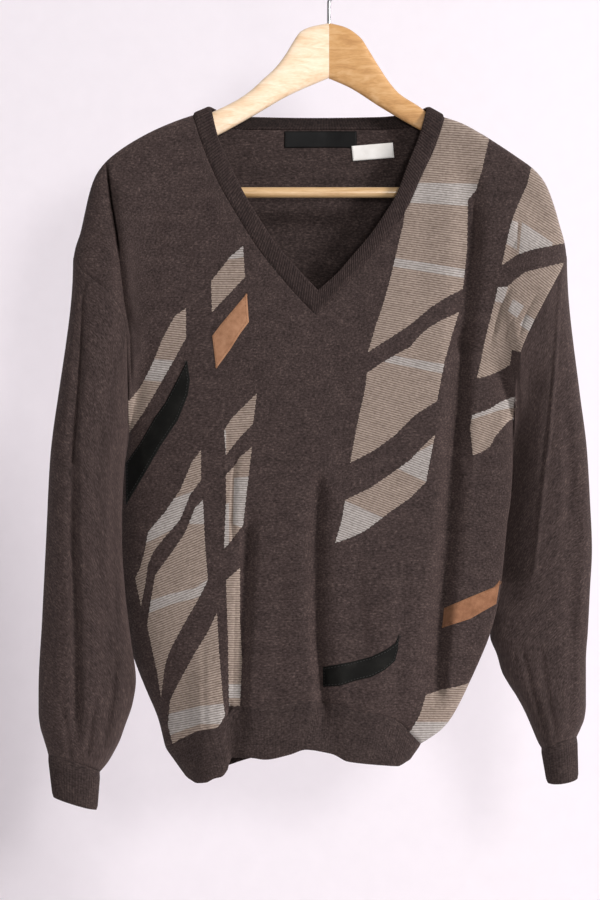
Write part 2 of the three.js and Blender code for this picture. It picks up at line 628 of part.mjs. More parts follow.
// A ribbed band knitted on to a seam: the ribs stand on its outer face over a plain inside.
// Each stretch is a seam with its normals and the band's own edge beside it.
function ribbedBand(stretches, thick, closed) {
  const grid = [[], [], []];
  const seamNormals = [];
  stretches.forEach(({ seam, normals, edge }, k) => {
    const columns = 2 * Math.round(lineLength(seam) / RIB_PITCH);
    const last = closed || k + 1 < stretches.length ? columns - 1 : columns;
    for (let j = 0; j <= last; j++) {
      const from = alongPoints(seam, j / columns);
      const to = alongPoints(edge, j / columns);
      grid.forEach((row, i) => row.push(from.point.clone().lerp(to.point, i / (grid.length - 1))));
      seamNormals.push(alongPoints(seam, j / columns, normals).normal);
    }
  });
  const own = gridNormals(grid, closed);
  own.forEach((row, i) => {
    row.forEach((n, j) => {
      if (n.dot(seamNormals[j]) < 0) n.negate();
      n.lerp(seamNormals[j], 1 - i / (grid.length - 1)).normalize();
    });
  });
  trimRow(grid, own, 0, 1, closed, BAND_GAP);
  if (!closed) {
    const last = grid[0].length - 1;
    own.forEach((row) => {
      row[0].copy(seamNormals[0]);
      row[last].copy(seamNormals[last]);
    });
    trimColumn(grid, own, 0, 1, SEAM_GAP / 2);
    trimColumn(grid, own, last, last - 1, SEAM_GAP / 2);
  }
  const raised = (row, i) => row.map((p, j) => p.clone().addScaledVector(own[i][j], j % 2 ? RIB_RAISED : 0));
  return wallBetween(grid.map(raised), offset(grid, own, -thick), closed);
}

// Hem: from the panel's lower edge to the hem's own edge
function hemEdge(panel, list) {
  return panel.columns.map(({ u }) => {
    const share = hemShare(u);
    const across = mix(HEM_EDGE_LEFT, HEM_EDGE_RIGHT, share);
    const left = through(panel.depthLeft, HEM_LEFT[1]);
    const right = through(panel.depthRight, HEM_RIGHT[1]);
    const side = mix(left, right, share);
    const down = through(list, across);
    const round = Math.sqrt(Math.max(0, 1 - (2 * share - 1) ** 2));
    const depth = side + (through(panel.middle, down) - side) * round;
    return place({ across, down, depth: depth - panel.facing * foldsAt(panel.folds, across, down) });
  });
}

function hemWall(panel, list) {
  const stretch = { seam: panel.grid[0], normals: panel.normals[0], edge: hemEdge(panel, list) };
  return ribbedBand([stretch], KNIT, false);
}

// Cuff: from the sleeve's last ring to its own free edge
function cuffWall(cuff, { end, endNormals }) {
  const ring = end.map((_, j) => {
    const angle = (2 * Math.PI * j) / end.length;
    const share = (1 - Math.cos(angle)) / 2;
    const across = mix(cuff.outer[0], cuff.inner[0], share);
    const down = mix(cuff.outer[1], cuff.inner[1], share) + cuff.sag * Math.abs(Math.sin(angle));
    return place({ across, down, depth: cuff.depth - cuff.round * Math.sin(angle) });
  });
  const wrap = (list) => [...list, list[0]];
  return ribbedBand([{ seam: wrap(end), normals: wrap(endNormals), edge: wrap(ring) }], KNIT, true);
}

// Neckband: its free edge lies on the same surface as the panels
function bandEdge(panel, list, steps) {
  return steps.map((t) => {
    const [across, down] = alongLine(list, t);
    const depth = panelDepth(panel, across, down, shoulderShare(across), NECK_HEIGHT);
    return place({ across, down, depth });
  });
}

function neckband() {
  const part = (panel, from, to) => ({
    seam: panel.grid[LAST_ROW].slice(from, to + 1),
    normals: panel.normals[LAST_ROW].slice(from, to + 1),
  });
  const turned = ({ seam, normals }) => ({ seam: seam.reverse(), normals: normals.reverse() });
  const fromEnd = [...BAND_STEPS].reverse().map((t) => 1 - t);
  const bothEnds = [...BAND_STEPS.map((t) => t / 2), ...fromEnd.slice(1).map((t) => 0.5 + t / 2)];
  const point = FRONT.last / 2;
  const back = turned(part(BACK, NECK_FROM, BACK.last - NECK_FROM));
  const stretches = [
    { ...part(FRONT, NECK_FROM, point), edge: bandEdge(FRONT, BAND_EDGE_LEFT, BAND_STEPS) },
    { ...part(FRONT, point, FRONT.last - NECK_FROM), edge: bandEdge(FRONT, BAND_EDGE_RIGHT, fromEnd) },
    { ...back, edge: bandEdge(BACK, [...BAND_EDGE_BACK].reverse(), bothEnds) },
  ];
  return ribbedBand(stretches, BAND_THICK, true);
}

const wasm = await Module();
wasm.setup();

function toSolid(geometry) {
  const bare = geometry.clone();
  bare.deleteAttribute("normal");
  bare.deleteAttribute("uv");
  const merged = mergeVertices(bare, 1e-4);
  return new wasm.Manifold(
    new wasm.Mesh({
      numProp: 3,
      vertProperties: merged.attributes.position.array,
      triVerts: new Uint32Array(merged.index.array),
    }),
  );
}

function toGeometry(solid) {
  const { vertProperties, triVerts } = solid.getMesh();
  const geometry = new THREE.BufferGeometry();
  geometry.setAttribute("position", new THREE.Float32BufferAttribute([...vertProperties], 3));
  geometry.setIndex([...triVerts]);
  geometry.computeVertexNormals();
  return geometry;
}

// A piece that lies on a panel is the panel's own surface moved off it and cut to an outline
const CUT_REACH = 150;
function pieceOnPanel(panel, outline, from, to) {
  const { grid, normals } = panel;
  const shell = toSolid(wallBetween(offset(grid, normals, to), offset(grid, normals, from), false));
  const corners = outline.map(([across, down]) => {
    const v = (HEM_LEFT[1] - down) / (HEM_LEFT[1] - TIP_LEFT[1]);
    const left = through(panel.left, down);
    const share = (across - left) / (through(panel.right, down) - left);
    const p = place({ across, down, depth: panelDepth(panel, across, down, share, v) });
    return new THREE.Vector2(p.x, p.z);
  });
  const shape = new THREE.Shape(corners);
  const prism = new THREE.ExtrudeGeometry(shape, { depth: 2 * CUT_REACH, bevelEnabled: false });
  prism.rotateX(Math.PI / 2);
  prism.translate(0, CUT_REACH, 0);
  return toGeometry(shell.intersect(toSolid(prism)));
}

function labelOutline({ across, down, width, height, tilt }) {
  const cos = Math.cos(tilt);
  const sin = Math.sin(tilt);
  return [[-1, -1], [1, -1], [1, 1], [-1, 1]].map(([i, j]) => {
    const x = (i * width) / 2;
    const y = (j * height) / 2;
    return [across + x * cos + y * sin, down - x * sin + y * cos];
  });
}

// Hanger arms: rounded sections along each half, the wood just under the cloth's ridge
const ridgeColumns = BACK.columns.map(({ top }) => top);

function ridgeChord(across) {
  let i = 0;
  while (i < ridgeColumns.length - 2 && ridgeColumns[i + 1][0] < across) i++;
  const [[x0, y0], [x1, y1]] = [ridgeColumns[i], ridgeColumns[i + 1]];
  const slope = (y1 - y0) / (x1 - x0);
  return y0 + slope * (across - x0) + (KNIT + WOOD_CLEARANCE) * Math.hypot(1, slope);
}

function armSection(arm, across) {
  const tip = Math.abs(across - arm.tip);
  const closing = 1 - Math.sqrt(1 - (1 - Math.min(tip / ARM_TIP_ROUND, 1)) ** 2);
  const underCloth = across < SHOULDER_LEFT.at(-1)[0] || across > SHOULDER_RIGHT[0][0];
  const top = underCloth ? ridgeChord(across) : through(arm.top, across);
  const under = through(arm.under, across);
  const middle = (top + under) / 2;
  const height = ((under - top) / 2) * (1 - ARM_TIP_LOWER * closing);
  const x = across + DATUM.x;
  const away = Math.abs(x) / MIDDLE;
  const half = mix(ARM_THICK_MIDDLE, ARM_THICK_TIP, away) / 2;
  const thick = half * (1 - ARM_TIP_THINNER * closing);
  const depth = -ARM_SWEEP * Math.abs(x);
  return Array.from({ length: ARM_SIDES }, (_, k) => {
    const angle = (2 * Math.PI * k) / ARM_SIDES;
    const soften = (value) => Math.sign(value) * Math.pow(Math.abs(value), ARM_EDGE);
    return place({
      across,
      down: middle - height * soften(Math.sin(angle)),
      depth: depth + thick * soften(Math.cos(angle)),
    });
  });
}

// A solid through rings of points, with flat ends
function loft(rings) {
  const sides = rings[0].length;
  const positions = rings.flat().flatMap((p) => [p.x, p.y, p.z]);
  const index = [];
  for (let i = 0; i + 1 < rings.length; i++) {
    for (let k = 0; k < sides; k++) {
      const next = (k + 1) % sides;
      index.push(i * sides + k, i * sides + next, (i + 1) * sides + next);
      index.push(i * sides + k, (i + 1) * sides + next, (i + 1) * sides + k);
    }
  }
  const end = (rings.length - 1) * sides;
  for (let k = 1; k + 1 < sides; k++) {
    index.push(0, k + 1, k);
    index.push(end, end + k, end + k + 1);
  }
  const geometry = new THREE.BufferGeometry();
  geometry.setAttribute("position", new THREE.Float32BufferAttribute(positions, 3));
  geometry.setIndex(index);
  return faceOut(geometry);
}

// A round bar or wire along a path
function roundAlong(path, radius, sides, steps) {
  const circle = new THREE.EllipseCurve(0, 0, radius, radius).getPoints(sides).slice(0, -1);
  const settings = { steps, bevelEnabled: false, extrudePath: path };
  return new THREE.ExtrudeGeometry(new THREE.Shape(circle), settings);
}
const rod = (from, to, radius, sides) => roundAlong(new THREE.LineCurve3(from, to), radius, sides, 1);

// The stem rises from the arms, bends aside and turns over into an open circle
const HOOK_TURN = { from: -55, to: 205, step: 20 };
function hookPath() {
  const r = HOOK.inner + HOOK.wire / 2;
  const stemMiddle = HOOK.stemTop - 8;
  const points = [HOOK.stemFoot, stemMiddle, HOOK.stemTop].map((z) => new THREE.Vector3(0, 0, z));
  for (let degrees = HOOK_TURN.from; degrees <= HOOK_TURN.to; degrees += HOOK_TURN.step) {
    const a = THREE.MathUtils.degToRad(degrees);
    points.push(new THREE.Vector3(r * Math.cos(a), 0, -HOOK.inner + r * Math.sin(a)));
  }
  return new THREE.CatmullRomCurve3(points, false, "centripetal");
}
const hook = roundAlong(hookPath(), HOOK.wire / 2, HOOK.sides, HOOK.steps);

const [barLeft, barRight] = [BAR.from, BAR.to].map((across) => {
  return place({ across, down: BAR.down, depth: BAR.depth });
});
const bar = rod(barLeft, barRight, BAR.radius, BAR.sides);

function armGeometry(arm) {
  const [low, high] = arm.range;
  const folded = ridgeColumns
    .map(([across]) => across)
    .filter((across) => across < NECK_POINT_LEFT[0] - 2 || across > NECK_POINT_RIGHT[0] + 2);
  const stations = [low, high, ...arm.stations, ...folded]
    .filter((across) => across >= low && across <= high)
    .sort((a, b) => a - b);
  const solid = toSolid(loft(stations.map((across) => armSection(arm, across))));
  const gap = new THREE.Vector3(SEAM_GAP, 0, 0);
  const barBore = rod(barLeft.clone().sub(gap), barRight.clone().add(gap), BAR.radius + SEAM_GAP, BAR.sides);
  const stemFoot = new THREE.Vector3(0, 0, HOOK.stemFoot - SEAM_GAP);
  const stemTop = new THREE.Vector3(0, 0, HOOK.stemTop);
  const stemBore = rod(stemFoot, stemTop, HOOK.wire / 2 + SEAM_GAP, 2 * HOOK.sides);
  return toGeometry(solid.subtract(toSolid(barBore)).subtract(toSolid(stemBore)));
}

const LEFT_ARM = {
  top: ARM_TOP_LEFT,
  under: ARM_UNDER_LEFT,
  tip: ARM_TIP_LEFT,
  range: [ARM_TIP_LEFT, MIDDLE - SEAM_GAP / 2],
  stations: [116, 118, 121, 125, 131, 192.1, 200, 212, 235, 250, 262, 275, 285, 293, 300, 310, 320],
};
const RIGHT_ARM = {
  top: ARM_TOP_RIGHT,
  under: ARM_UNDER_RIGHT,
  tip: ARM_TIP_RIGHT,
  range: [MIDDLE + SEAM_GAP / 2, ARM_TIP_RIGHT],
  stations: [338, 345, 352, 360, 370, 378, 390, 400, 414, 427, 444.9, 525, 531, 535, 538, 540],
};

const leftSleeve = sleeveParts(SLEEVE_LEFT, SLEEVE_FOLDS_LEFT);
const rightSleeve = sleeveParts(SLEEVE_RIGHT, SLEEVE_FOLDS_RIGHT);

function panelWall({ grid, normals, last }) {
  const trimmed = grid.map((row) => row.map((p) => p.clone()));
  trimColumn(trimmed, normals, 0, 3, SEAM_GAP / 2);
  trimColumn(trimmed, normals, last, last - 3, SEAM_GAP / 2);
  trimRow(trimmed, normals, 0, 1, false, SEAM_GAP / 2);
  trimRow(trimmed, normals, LAST_ROW, LAST_ROW - 6, false, SEAM_GAP / 2);
  return wallBetween(trimmed, offset(trimmed, normals, -KNIT), false);
}

const group = new THREE.Group();
function add(name, geometry, color, roughness, metalness = 0) {
  const mesh = new THREE.Mesh(geometry, new THREE.MeshStandardMaterial({ color, roughness, metalness }));
  mesh.name = name;
  group.add(mesh);
}

const KNIT_BROWN = 0x453a38;
const RIB_BROWN = 0x3c3331;
const BEECH = 0xd9b183;
const PATCH_COLOURS = {
  suede_patch_upper: 0xa37858,
  suede_patch_lower: 0xa37858,
  leather_patch_left: 0x1c1c1a,
  leather_patch_right: 0x1c1c1a,
};

add("front_panel", panelWall(FRONT), KNIT_BROWN, 0.95);
add("back_panel", panelWall(BACK), KNIT_BROWN, 0.95);
add("sleeve_left", sleeveWall(leftSleeve), KNIT_BROWN, 0.95);
add("sleeve_right", sleeveWall(rightSleeve), KNIT_BROWN, 0.95);
add("cuff_left", cuffWall(CUFF_LEFT, leftSleeve), RIB_BROWN, 0.95);
add("cuff_right", cuffWall(CUFF_RIGHT, rightSleeve), RIB_BROWN, 0.95);
add("hem_front", hemWall(FRONT, HEM_EDGE_FRONT), RIB_BROWN, 0.95);
add("hem_back", hemWall(BACK, HEM_EDGE_BACK), RIB_BROWN, 0.95);
add("neckband", neckband(), RIB_BROWN, 0.95);
for (const [name, outline] of Object.entries(PATCHES)) {
  const piece = pieceOnPanel(FRONT, outline, SEAM_GAP, SEAM_GAP + PATCH_THICK);
  add(name, piece, PATCH_COLOURS[name], 0.9);
}
// The name label lies over a corner of the neck label
const labelTop = -(KNIT + SEAM_GAP + LABEL_THICK);
const nameTop = labelTop - SEAM_GAP - LABEL_THICK;
const label = (outline, top) => pieceOnPanel(BACK, labelOutline(outline), top, top + LABEL_THICK);
add("neck_label", label(NECK_LABEL, labelTop), 0x141414, 0.8);
add("name_label", label(NAME_LABEL, nameTop), 0xe8e4de, 0.8);
add("hanger_arm_left", armGeometry(LEFT_ARM), BEECH, 0.45);
add("hanger_arm_right", armGeometry(RIGHT_ARM), BEECH, 0.45);
add("hanger_bar", bar, BEECH, 0.45);
add("hanger_hook", hook, 0xc8c8c8, 0.3, 1);

export default group;
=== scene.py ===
# A V-neck sweater of fine wool knit with striped panels and sewn-on patches, on a beech hanger.
# The cloth is laid out as it is seen square on: across and down in millimetres with a depth behind
# the hook's plane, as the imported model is, and every mesh is made in metres in its frame.
import math

import bmesh
import bpy
import numpy as np
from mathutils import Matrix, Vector
from mathutils.geometry import delaunay_2d_cdt


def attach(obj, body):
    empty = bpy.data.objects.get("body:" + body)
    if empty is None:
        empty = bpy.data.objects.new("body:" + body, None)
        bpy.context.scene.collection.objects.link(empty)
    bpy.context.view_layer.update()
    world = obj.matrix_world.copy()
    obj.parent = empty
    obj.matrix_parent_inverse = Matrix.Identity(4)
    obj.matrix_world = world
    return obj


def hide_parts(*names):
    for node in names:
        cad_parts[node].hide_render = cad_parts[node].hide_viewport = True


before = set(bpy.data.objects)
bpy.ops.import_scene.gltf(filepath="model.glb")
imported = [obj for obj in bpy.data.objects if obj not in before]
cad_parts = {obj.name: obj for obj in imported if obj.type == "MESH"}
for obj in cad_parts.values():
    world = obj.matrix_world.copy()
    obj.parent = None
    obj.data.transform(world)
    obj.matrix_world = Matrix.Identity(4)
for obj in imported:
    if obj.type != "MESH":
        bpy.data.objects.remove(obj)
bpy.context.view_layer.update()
MM = 0.001

# Layout, eye and seams, in millimetres
DATUM_X, DATUM_Z = -329.0, -49.0
EYE_X, EYE_Z, EYE_DISTANCE = -29.0, -499.0, 2000.0
MIDDLE = -DATUM_X
TIP_LEFT, TIP_RIGHT = (73, 258), (567, 256)
NECK_POINT_LEFT, NECK_POINT_RIGHT = (192, 115), (445, 117)
V_POINT = (316, 315)
HEM_LEFT, HEM_RIGHT = (165, 747), (421, 744)
HEM_EDGE_LEFT, HEM_EDGE_RIGHT = 188, 409
UNDERARM_LEFT, UNDERARM_RIGHT = (128, 426), (513, 424)
UNDERARM, YOKE, NECK_HEIGHT = 0.656, 0.85, 0.9
SIDE_PULL = 5

# Wall of the cloth, and how far an edge rolls in at a seam
KNIT_WALL, BAND_WALL = 1.7, 2.4
SEAM_TUCK, SEAM_ROLL, HEM_TUCK, SIDE_TUCK, TOP_TUCK = 0.9, 2.2, 0.35, 0.3, 0.6

# Fineness of the meshes
SHOULDER_STEPS = [0, 0.12, 0.26, 0.42, 0.58, 0.74, 0.88, 1]
NECK_STEPS = [0, 0.014, 0.032, 0.06, 0.11, 0.2, 0.36, 0.56, 0.78, 1]
NECK_STEPS_BACK = [0, 0.04, 0.1, 0.3, 0.62, 1]
ARMHOLE_HEIGHTS = [UNDERARM, 0.705, 0.755, 0.805, 0.855, 0.9, 0.938, 0.964, 0.981, 0.9925, 0.998, 1]
COLUMNS_BETWEEN = 5
CLEAR_OF_EDGES = 40  # rows and columns from an edge to where a panel's facing is tested
ROWS_BELOW_ARM, ROWS_ABOVE_ARM = 126, 78
SLEEVE_ROUND, SLEEVE_ROWS = 148, 156

SHOULDER_LEFT = [
    TIP_LEFT, (75, 248), (80, 233), (84, 215), (89, 193), (95, 176), (105, 162), (120, 149.5),
    (140, 137), (160, 127), (180, 119), NECK_POINT_LEFT,
]
SHOULDER_RIGHT = [
    NECK_POINT_RIGHT, (460, 122), (480, 132.5), (500, 145), (520, 158.5), (533, 168), (545, 182),
    (555, 207), (560, 225), (565, 243), TIP_RIGHT,
]
NECK_LEFT = [
    NECK_POINT_LEFT, (205, 152), (218, 182), (235, 212), (257, 247), (279, 275), (300, 299), V_POINT,
]
NECK_RIGHT = [
    V_POINT, (337, 293), (354, 275), (372, 255), (387, 236), (406, 210), (422, 175), (435, 147),
    NECK_POINT_RIGHT,
]
NECK_BACK = [
    NECK_POINT_LEFT, (198, 119), (208, 125), (225, 129), (255, 130), (V_POINT[0], 130.5), (380, 130),
    (412, 127.5), (430, 123), (439, 119.5), NECK_POINT_RIGHT,
]
BAND_EDGE_LEFT = [
    (211, 107), (218, 136), (229, 161), (241, 187), (257, 214.5), (279, 247), (300, 271), (318, 290),
]
BAND_EDGE_RIGHT = [
    (318, 290), (337, 273), (354, 253.5), (372, 232), (387, 210), (395, 197), (408, 164),
    (421, 130), (427, 107),
]
BAND_EDGE_BACK = [
    (211, 107), (222, 112), (238, 115.5), (255, 117), (316, 118), (380, 117), (400, 115),
    (417, 111), (427, 107),
]
HEM_SEAM_FRONT = [
    HEM_LEFT, (178, 741), (198, 731), (216, 728), (226, 717), (236, 707), (256, 708), (300, 701),
    (331, 704), (360, 712), (385, 716), (400, 723), (412, 735), HEM_RIGHT,
]
HEM_EDGE_FRONT = [
    (HEM_EDGE_LEFT, 779), (197, 783.5), (205, 783), (214, 779), (222, 777), (228, 770), (232, 758),
    (248, 758), (265, 760), (290, 755), (306, 750), (331, 754), (348, 762), (380, 765.5),
    (398, 766.5), (HEM_EDGE_RIGHT, 761),
]
HEM_SEAM_BACK = [HEM_LEFT, (200, 733), (260, 712), (331, 704), (385, 716), HEM_RIGHT]
HEM_EDGE_BACK = [
    (HEM_EDGE_LEFT, 779), (220, 768), (260, 756), (331, 748), (385, 756), (HEM_EDGE_RIGHT, 761),
]

# Side seams and armholes, down to across, and their depths
SIDE_LEFT = [
    (747, 165), (719, 158), (690, 146), (665, 136), (640, 128), (600, 121), (560, 117), (520, 116),
    (480, 120), (450, 125), (426, 128), (400, 128), (360, 127.5), (330, 126), (306, 119), (297, 112),
    (287, 103), (279, 92), (268, 80), (258, 73),
]
SIDE_RIGHT = [
    (744, 421), (731, 440), (720, 450), (703, 460), (682, 470), (660, 480), (635, 490), (605, 498),
    (570, 503), (520, 508), (500, 511), (460, 513), (424, 513), (405, 515.5), (385, 516), (368, 517),
    (351, 521), (325, 532), (300, 545), (268, 562), (256, 567),
]
ARMHOLE_BACK_LEFT = [
    (426, 128), (400, 122), (360, 112), (330, 104), (300, 92), (280, 82), (265, 76), (258, 73),
]
ARMHOLE_BACK_RIGHT = [
    (424, 513), (405, 517), (368, 524), (330, 535), (300, 548), (275, 560), (256, 567),
]
SIDE_DEPTH_LEFT = [
    (747, -34), (690, -22), (600, -12), (500, -10), (450, -16), (426, -30), (400, -46), (360, -54),
    (330, -59), (306, -68), (287, -74), (270, -66), (258, -46),
]
SIDE_DEPTH_RIGHT = [
    (744, -44), (690, -46), (600, -50), (500, -52), (460, -50), (440, -43), (424, -32), (405, -46),
    (368, -62), (351, -72), (300, -76), (270, -64), (256, -46),
]
ARMHOLE_DEPTH_LEFT = [
    (426, -30), (400, -22), (360, -16), (320, -14), (285, -17), (268, -28), (258, -46),
]
ARMHOLE_DEPTH_RIGHT = [
    (424, -32), (405, -22), (368, -13), (320, -9), (285, -14), (268, -27), (256, -46),
]
FRONT_DEPTH = [
    (790, -84), (755, -86), (700, -94), (600, -92), (500, -86), (400, -78), (300, -70), (200, -62),
    (110, -56),
]
BACK_DEPTH = [
    (790, 6), (755, 8), (700, 12), (600, 16), (500, 18), (400, 18), (300, 16), (200, 14), (110, 12),
]
RIDGE_ROUND = [
    (73, 26), (92, 18), (107, 13), (200, 13.5), (458, 13.5), (552, 13), (562, 19), (567, 26),
]
RIDGE_REACH = [(73, 40), (107, 60), (150, 105), (500, 105), (552, 60), (567, 40)]
DROP_FORWARD, DROP_FROM, DROP_TO = 5, 220, 256
ARM_SWEEP = 0.16
FOLD_FADE, FOLDS_BELOW_RIDGE = 45, 20

# Folds and creases: a line of across and down, half width, and how far the cloth is pushed in. The
# folds fade over a long stretch at their ends and the creases over a short one.
FRONT_FOLDS = [
    ([(107, 160), (110, 202), (114, 225), (117, 245), (121, 280), (123, 300), (128, 325)], 9, 9),
    (
        [(464, 150), (470, 205), (468, 260), (461, 340), (455, 420), (449, 540), (436, 640), (428, 700)],
        21, 13,
    ),
    ([(318, 470), (317, 560), (320, 640), (329, 715), (334, 760)], 19, 9),
    ([(250, 500), (246, 570), (240, 650), (233, 715), (233, 770)], 15, 10),
    ([(205, 640), (206, 700), (206, 790)], 24, -8),
    ([(390, 560), (385, 650), (372, 740)], 34, -6),
]
BACK_FOLDS = [
    ([(190, 260), (200, 420), (215, 600), (225, 770)], 26, -10),
    ([(330, 330), (335, 500), (330, 770)], 30, -8),
    ([(455, 260), (440, 420), (415, 600), (395, 770)], 26, -10),
]
FRONT_CREASES = [
    ([(473, 205), (472, 250), (467, 300), (461, 350)], 10, 4.5),
    ([(462, 330), (459, 400), (452, 460), (446, 540), (442, 620), (438, 700)], 12, 9),
    ([(467, 375), (465, 410), (468, 470)], 8, 3.5),
    ([(319, 470), (316, 560), (316, 640), (322, 700), (332, 742)], 10, 9),
    ([(356, 545), (361, 600), (366, 660)], 7, 1.8),
    ([(247, 520), (245, 600), (244, 660), (243, 720)], 8, 6),
    ([(203, 632), (204, 690), (206, 735)], 4.5, 1.7),
    ([(211, 645), (213, 700), (216, 740)], 4, 1.0),
    ([(226, 425), (231, 460), (229, 500)], 4, 2.0),
    ([(403, 560), (400, 640), (394, 705)], 12, 2.2),
    ([(282, 560), (280, 640), (276, 700)], 12, 1.8),
    ([(514, 280), (503, 302), (496, 322), (489, 350)], 6, 3.4),
    ([(540, 285), (525, 315), (516, 345), (505, 372)], 6, 3.0),
    ([(521, 205), (518, 235), (508, 264)], 5, 2.6),
    ([(531, 185), (534, 200), (530, 215)], 6, 1.6),
    ([(508, 372), (500, 400), (488, 430), (478, 480)], 8, 2.4),
    ([(150, 330), (138, 400), (134, 470)], 8, 1.6),
    ([(162, 150), (156, 200), (158, 260)], 11, 2.0),
    ([(180, 140), (178, 200), (186, 280)], 10, 1.6),
    ([(395, 120), (402, 150), (398, 230)], 10, 1.0),
    ([(330, 340), (345, 400), (340, 470)], 18, 1.8),
    ([(425, 180), (420, 260), (412, 330)], 14, 1.6),
]
# Sharp pleats of the front: a line, its width to the left and to the right, and its depth
FRONT_PLEATS = [
    ([(106, 160), (108, 180), (111, 202), (116, 232), (120, 262)], 1.5, 2.6, 30),
    ([(118, 250), (122, 280), (125, 305), (130, 335), (132, 400)], 1.4, 2.6, 2.5),
    ([(471, 196), (474, 212), (474, 240), (469, 272)], 1.8, 5.0, 4.6),
    ([(226, 690), (229, 712), (231, 735)], 1.4, 6.0, 7.0),
    ([(514, 282), (503, 302), (496, 322), (490, 345)], 1.6, 4.0, 4.2),
    ([(541, 286), (525, 315), (516, 345)], 1.6, 4.0, 4.0),
    ([(518, 306), (508, 330), (503, 352)], 1.4, 3.0, 2.6),
    ([(520, 212), (517, 238), (508, 262)], 3.0, 1.6, 2.2),
    ([(463, 318), (459, 400), (452, 460)], 2.4, 6.0, 4.0),
    ([(516, 395), (508, 420), (494, 440)], 2.0, 4.0, 2.6),
    ([(318, 560), (317, 640), (322, 700), (331, 722)], 2.2, 4.2, 2.4),
    ([(186, 345), (180, 366), (168, 392)], 2, 3, 1.2),
    ([(236, 446), (233, 480), (231, 520), (234, 556)], 2.6, 7.0, 8.0),
    ([(236, 575), (234, 640), (233, 704)], 1.6, 3.0, 2.2),
]
PLEAT_FADE, PLEAT_STEP, PLEAT_RINGS = 22, 2.4, (-1, -0.5, -0.16, 0.16, 0.5, 1)
BACK_CREASES = [
    ([(150, 330), (165, 420), (180, 540)], 12, 2.4),
    ([(250, 520), (255, 620), (250, 710)], 12, 2.2),
    ([(300, 420), (292, 560), (296, 700)], 14, 2.0),
    ([(380, 480), (378, 600), (366, 706)], 12, 2.4),
    ([(500, 330), (478, 430), (462, 560)], 12, 2.6),
    ([(220, 170), (300, 182), (400, 172)], 12, 1.4),
]
SLEEVE_FOLDS_LEFT = [
    ([(85, 262), (83, 310), (79, 370), (73, 430), (72, 520), (76, 620), (76, 740)], 9, 6),
    ([(110, 560), (108, 650), (104, 735)], 16, 5),
]
SLEEVE_FOLDS_RIGHT = [
    ([(530, 345), (522, 390), (515, 430), (510, 500), (505, 590)], 29, 21),
    ([(570, 430), (573, 540), (568, 640)], 12, 4),
]
SLEEVE_CREASES_LEFT = [
    ([(87, 266), (83, 300), (81, 350), (78, 400), (73, 462)], 2.3, 10.0),
    ([(95, 280), (102, 288), (110, 297), (120, 312)], 1.6, 2.0),
    ([(76, 470), (73, 540), (76, 640), (78, 720)], 8, 3.4),
    ([(60, 700), (66, 725), (70, 752)], 5, 3.4),
    ([(96, 690), (92, 720), (88, 752)], 5, 3.8),
    ([(118, 640), (112, 700), (104, 740)], 6, 3.2),
    ([(100, 420), (96, 500), (98, 600)], 9, 2.0),
    ([(52, 520), (50, 620), (52, 700)], 8, 2.2),
    ([(116, 440), (113, 520), (116, 620)], 7, 2.6),
]
SLEEVE_CREASES_RIGHT = [
    ([(562, 262), (558, 320), (555, 370), (549, 440), (542, 500), (534, 575)], 3.2, -4.6),
    ([(540, 640), (546, 690), (556, 735)], 6, 3.0),
    ([(520, 640), (532, 690), (546, 735)], 5, 2.8),
    ([(575, 560), (572, 640), (570, 730)], 8, 2.4),
    ([(566, 400), (570, 480), (562, 560)], 8, 2.6),
    ([(584, 380), (589, 470), (590, 560)], 2.4, 2.0),
]
CREASE_FADE = 16

SLEEVE_LEFT = {
    "outer": [
        (258, 73), (280, 71), (330, 65), (400, 57), (460, 50), (540, 46), (620, 42), (690, 38.5),
        (712, 38.5), (726, 40), (740, 44), (755, 48), (772, 49),
    ],
    "inner": [
        (426, 128), (445, 124), (480, 121.5), (540, 122), (590, 125), (640, 131), (680, 136), (702, 133),
        (726, 125), (740, 120), (752, 114), (762, 108), (772, 100),
    ],
    "depth": [(258, -46), (330, -50), (430, -60), (550, -62), (680, -58), (772, -50)],
    "round": [(258, 26), (330, 29), (430, 32), (550, 33), (680, 34), (735, 31), (757, 25), (772, 22)],
    "seam": (755, 772), "side": -1, "folds": SLEEVE_FOLDS_LEFT, "creases": SLEEVE_CREASES_LEFT,
}
SLEEVE_RIGHT = {
    "outer": [
        (256, 567), (290, 570), (330, 574), (370, 578), (400, 581), (450, 587), (500, 590), (550, 592),
        (590, 590), (630, 588), (660, 586), (705, 586), (718, 584.5), (730, 580), (737, 577), (748, 575),
    ],
    "inner": [
        (424, 513), (445, 510), (470, 507), (500, 504), (550, 498), (600, 492), (635, 490), (655, 497),
        (672, 502), (683, 508), (697, 517), (712, 525), (728, 532), (740, 537), (748, 541),
    ],
    "depth": [(256, -46), (330, -38), (424, -20), (460, -13), (550, -8), (680, -12), (748, -20)],
    "round": [(256, 26), (330, 30), (430, 30), (550, 28), (680, 31), (718, 32), (737, 29), (748, 27)],
    "seam": (737, 748), "side": 1, "folds": SLEEVE_FOLDS_RIGHT, "creases": SLEEVE_CREASES_RIGHT,
}
SLEEVE_SETTLES = 0.35
CUFF_LEFT = {"outer": (53, 797), "inner": (97, 809.5), "depth": -50, "round": 21, "sag": 2}
CUFF_RIGHT = {"outer": (578, 778), "inner": (547, 782), "depth": -22, "round": 27, "sag": 4}

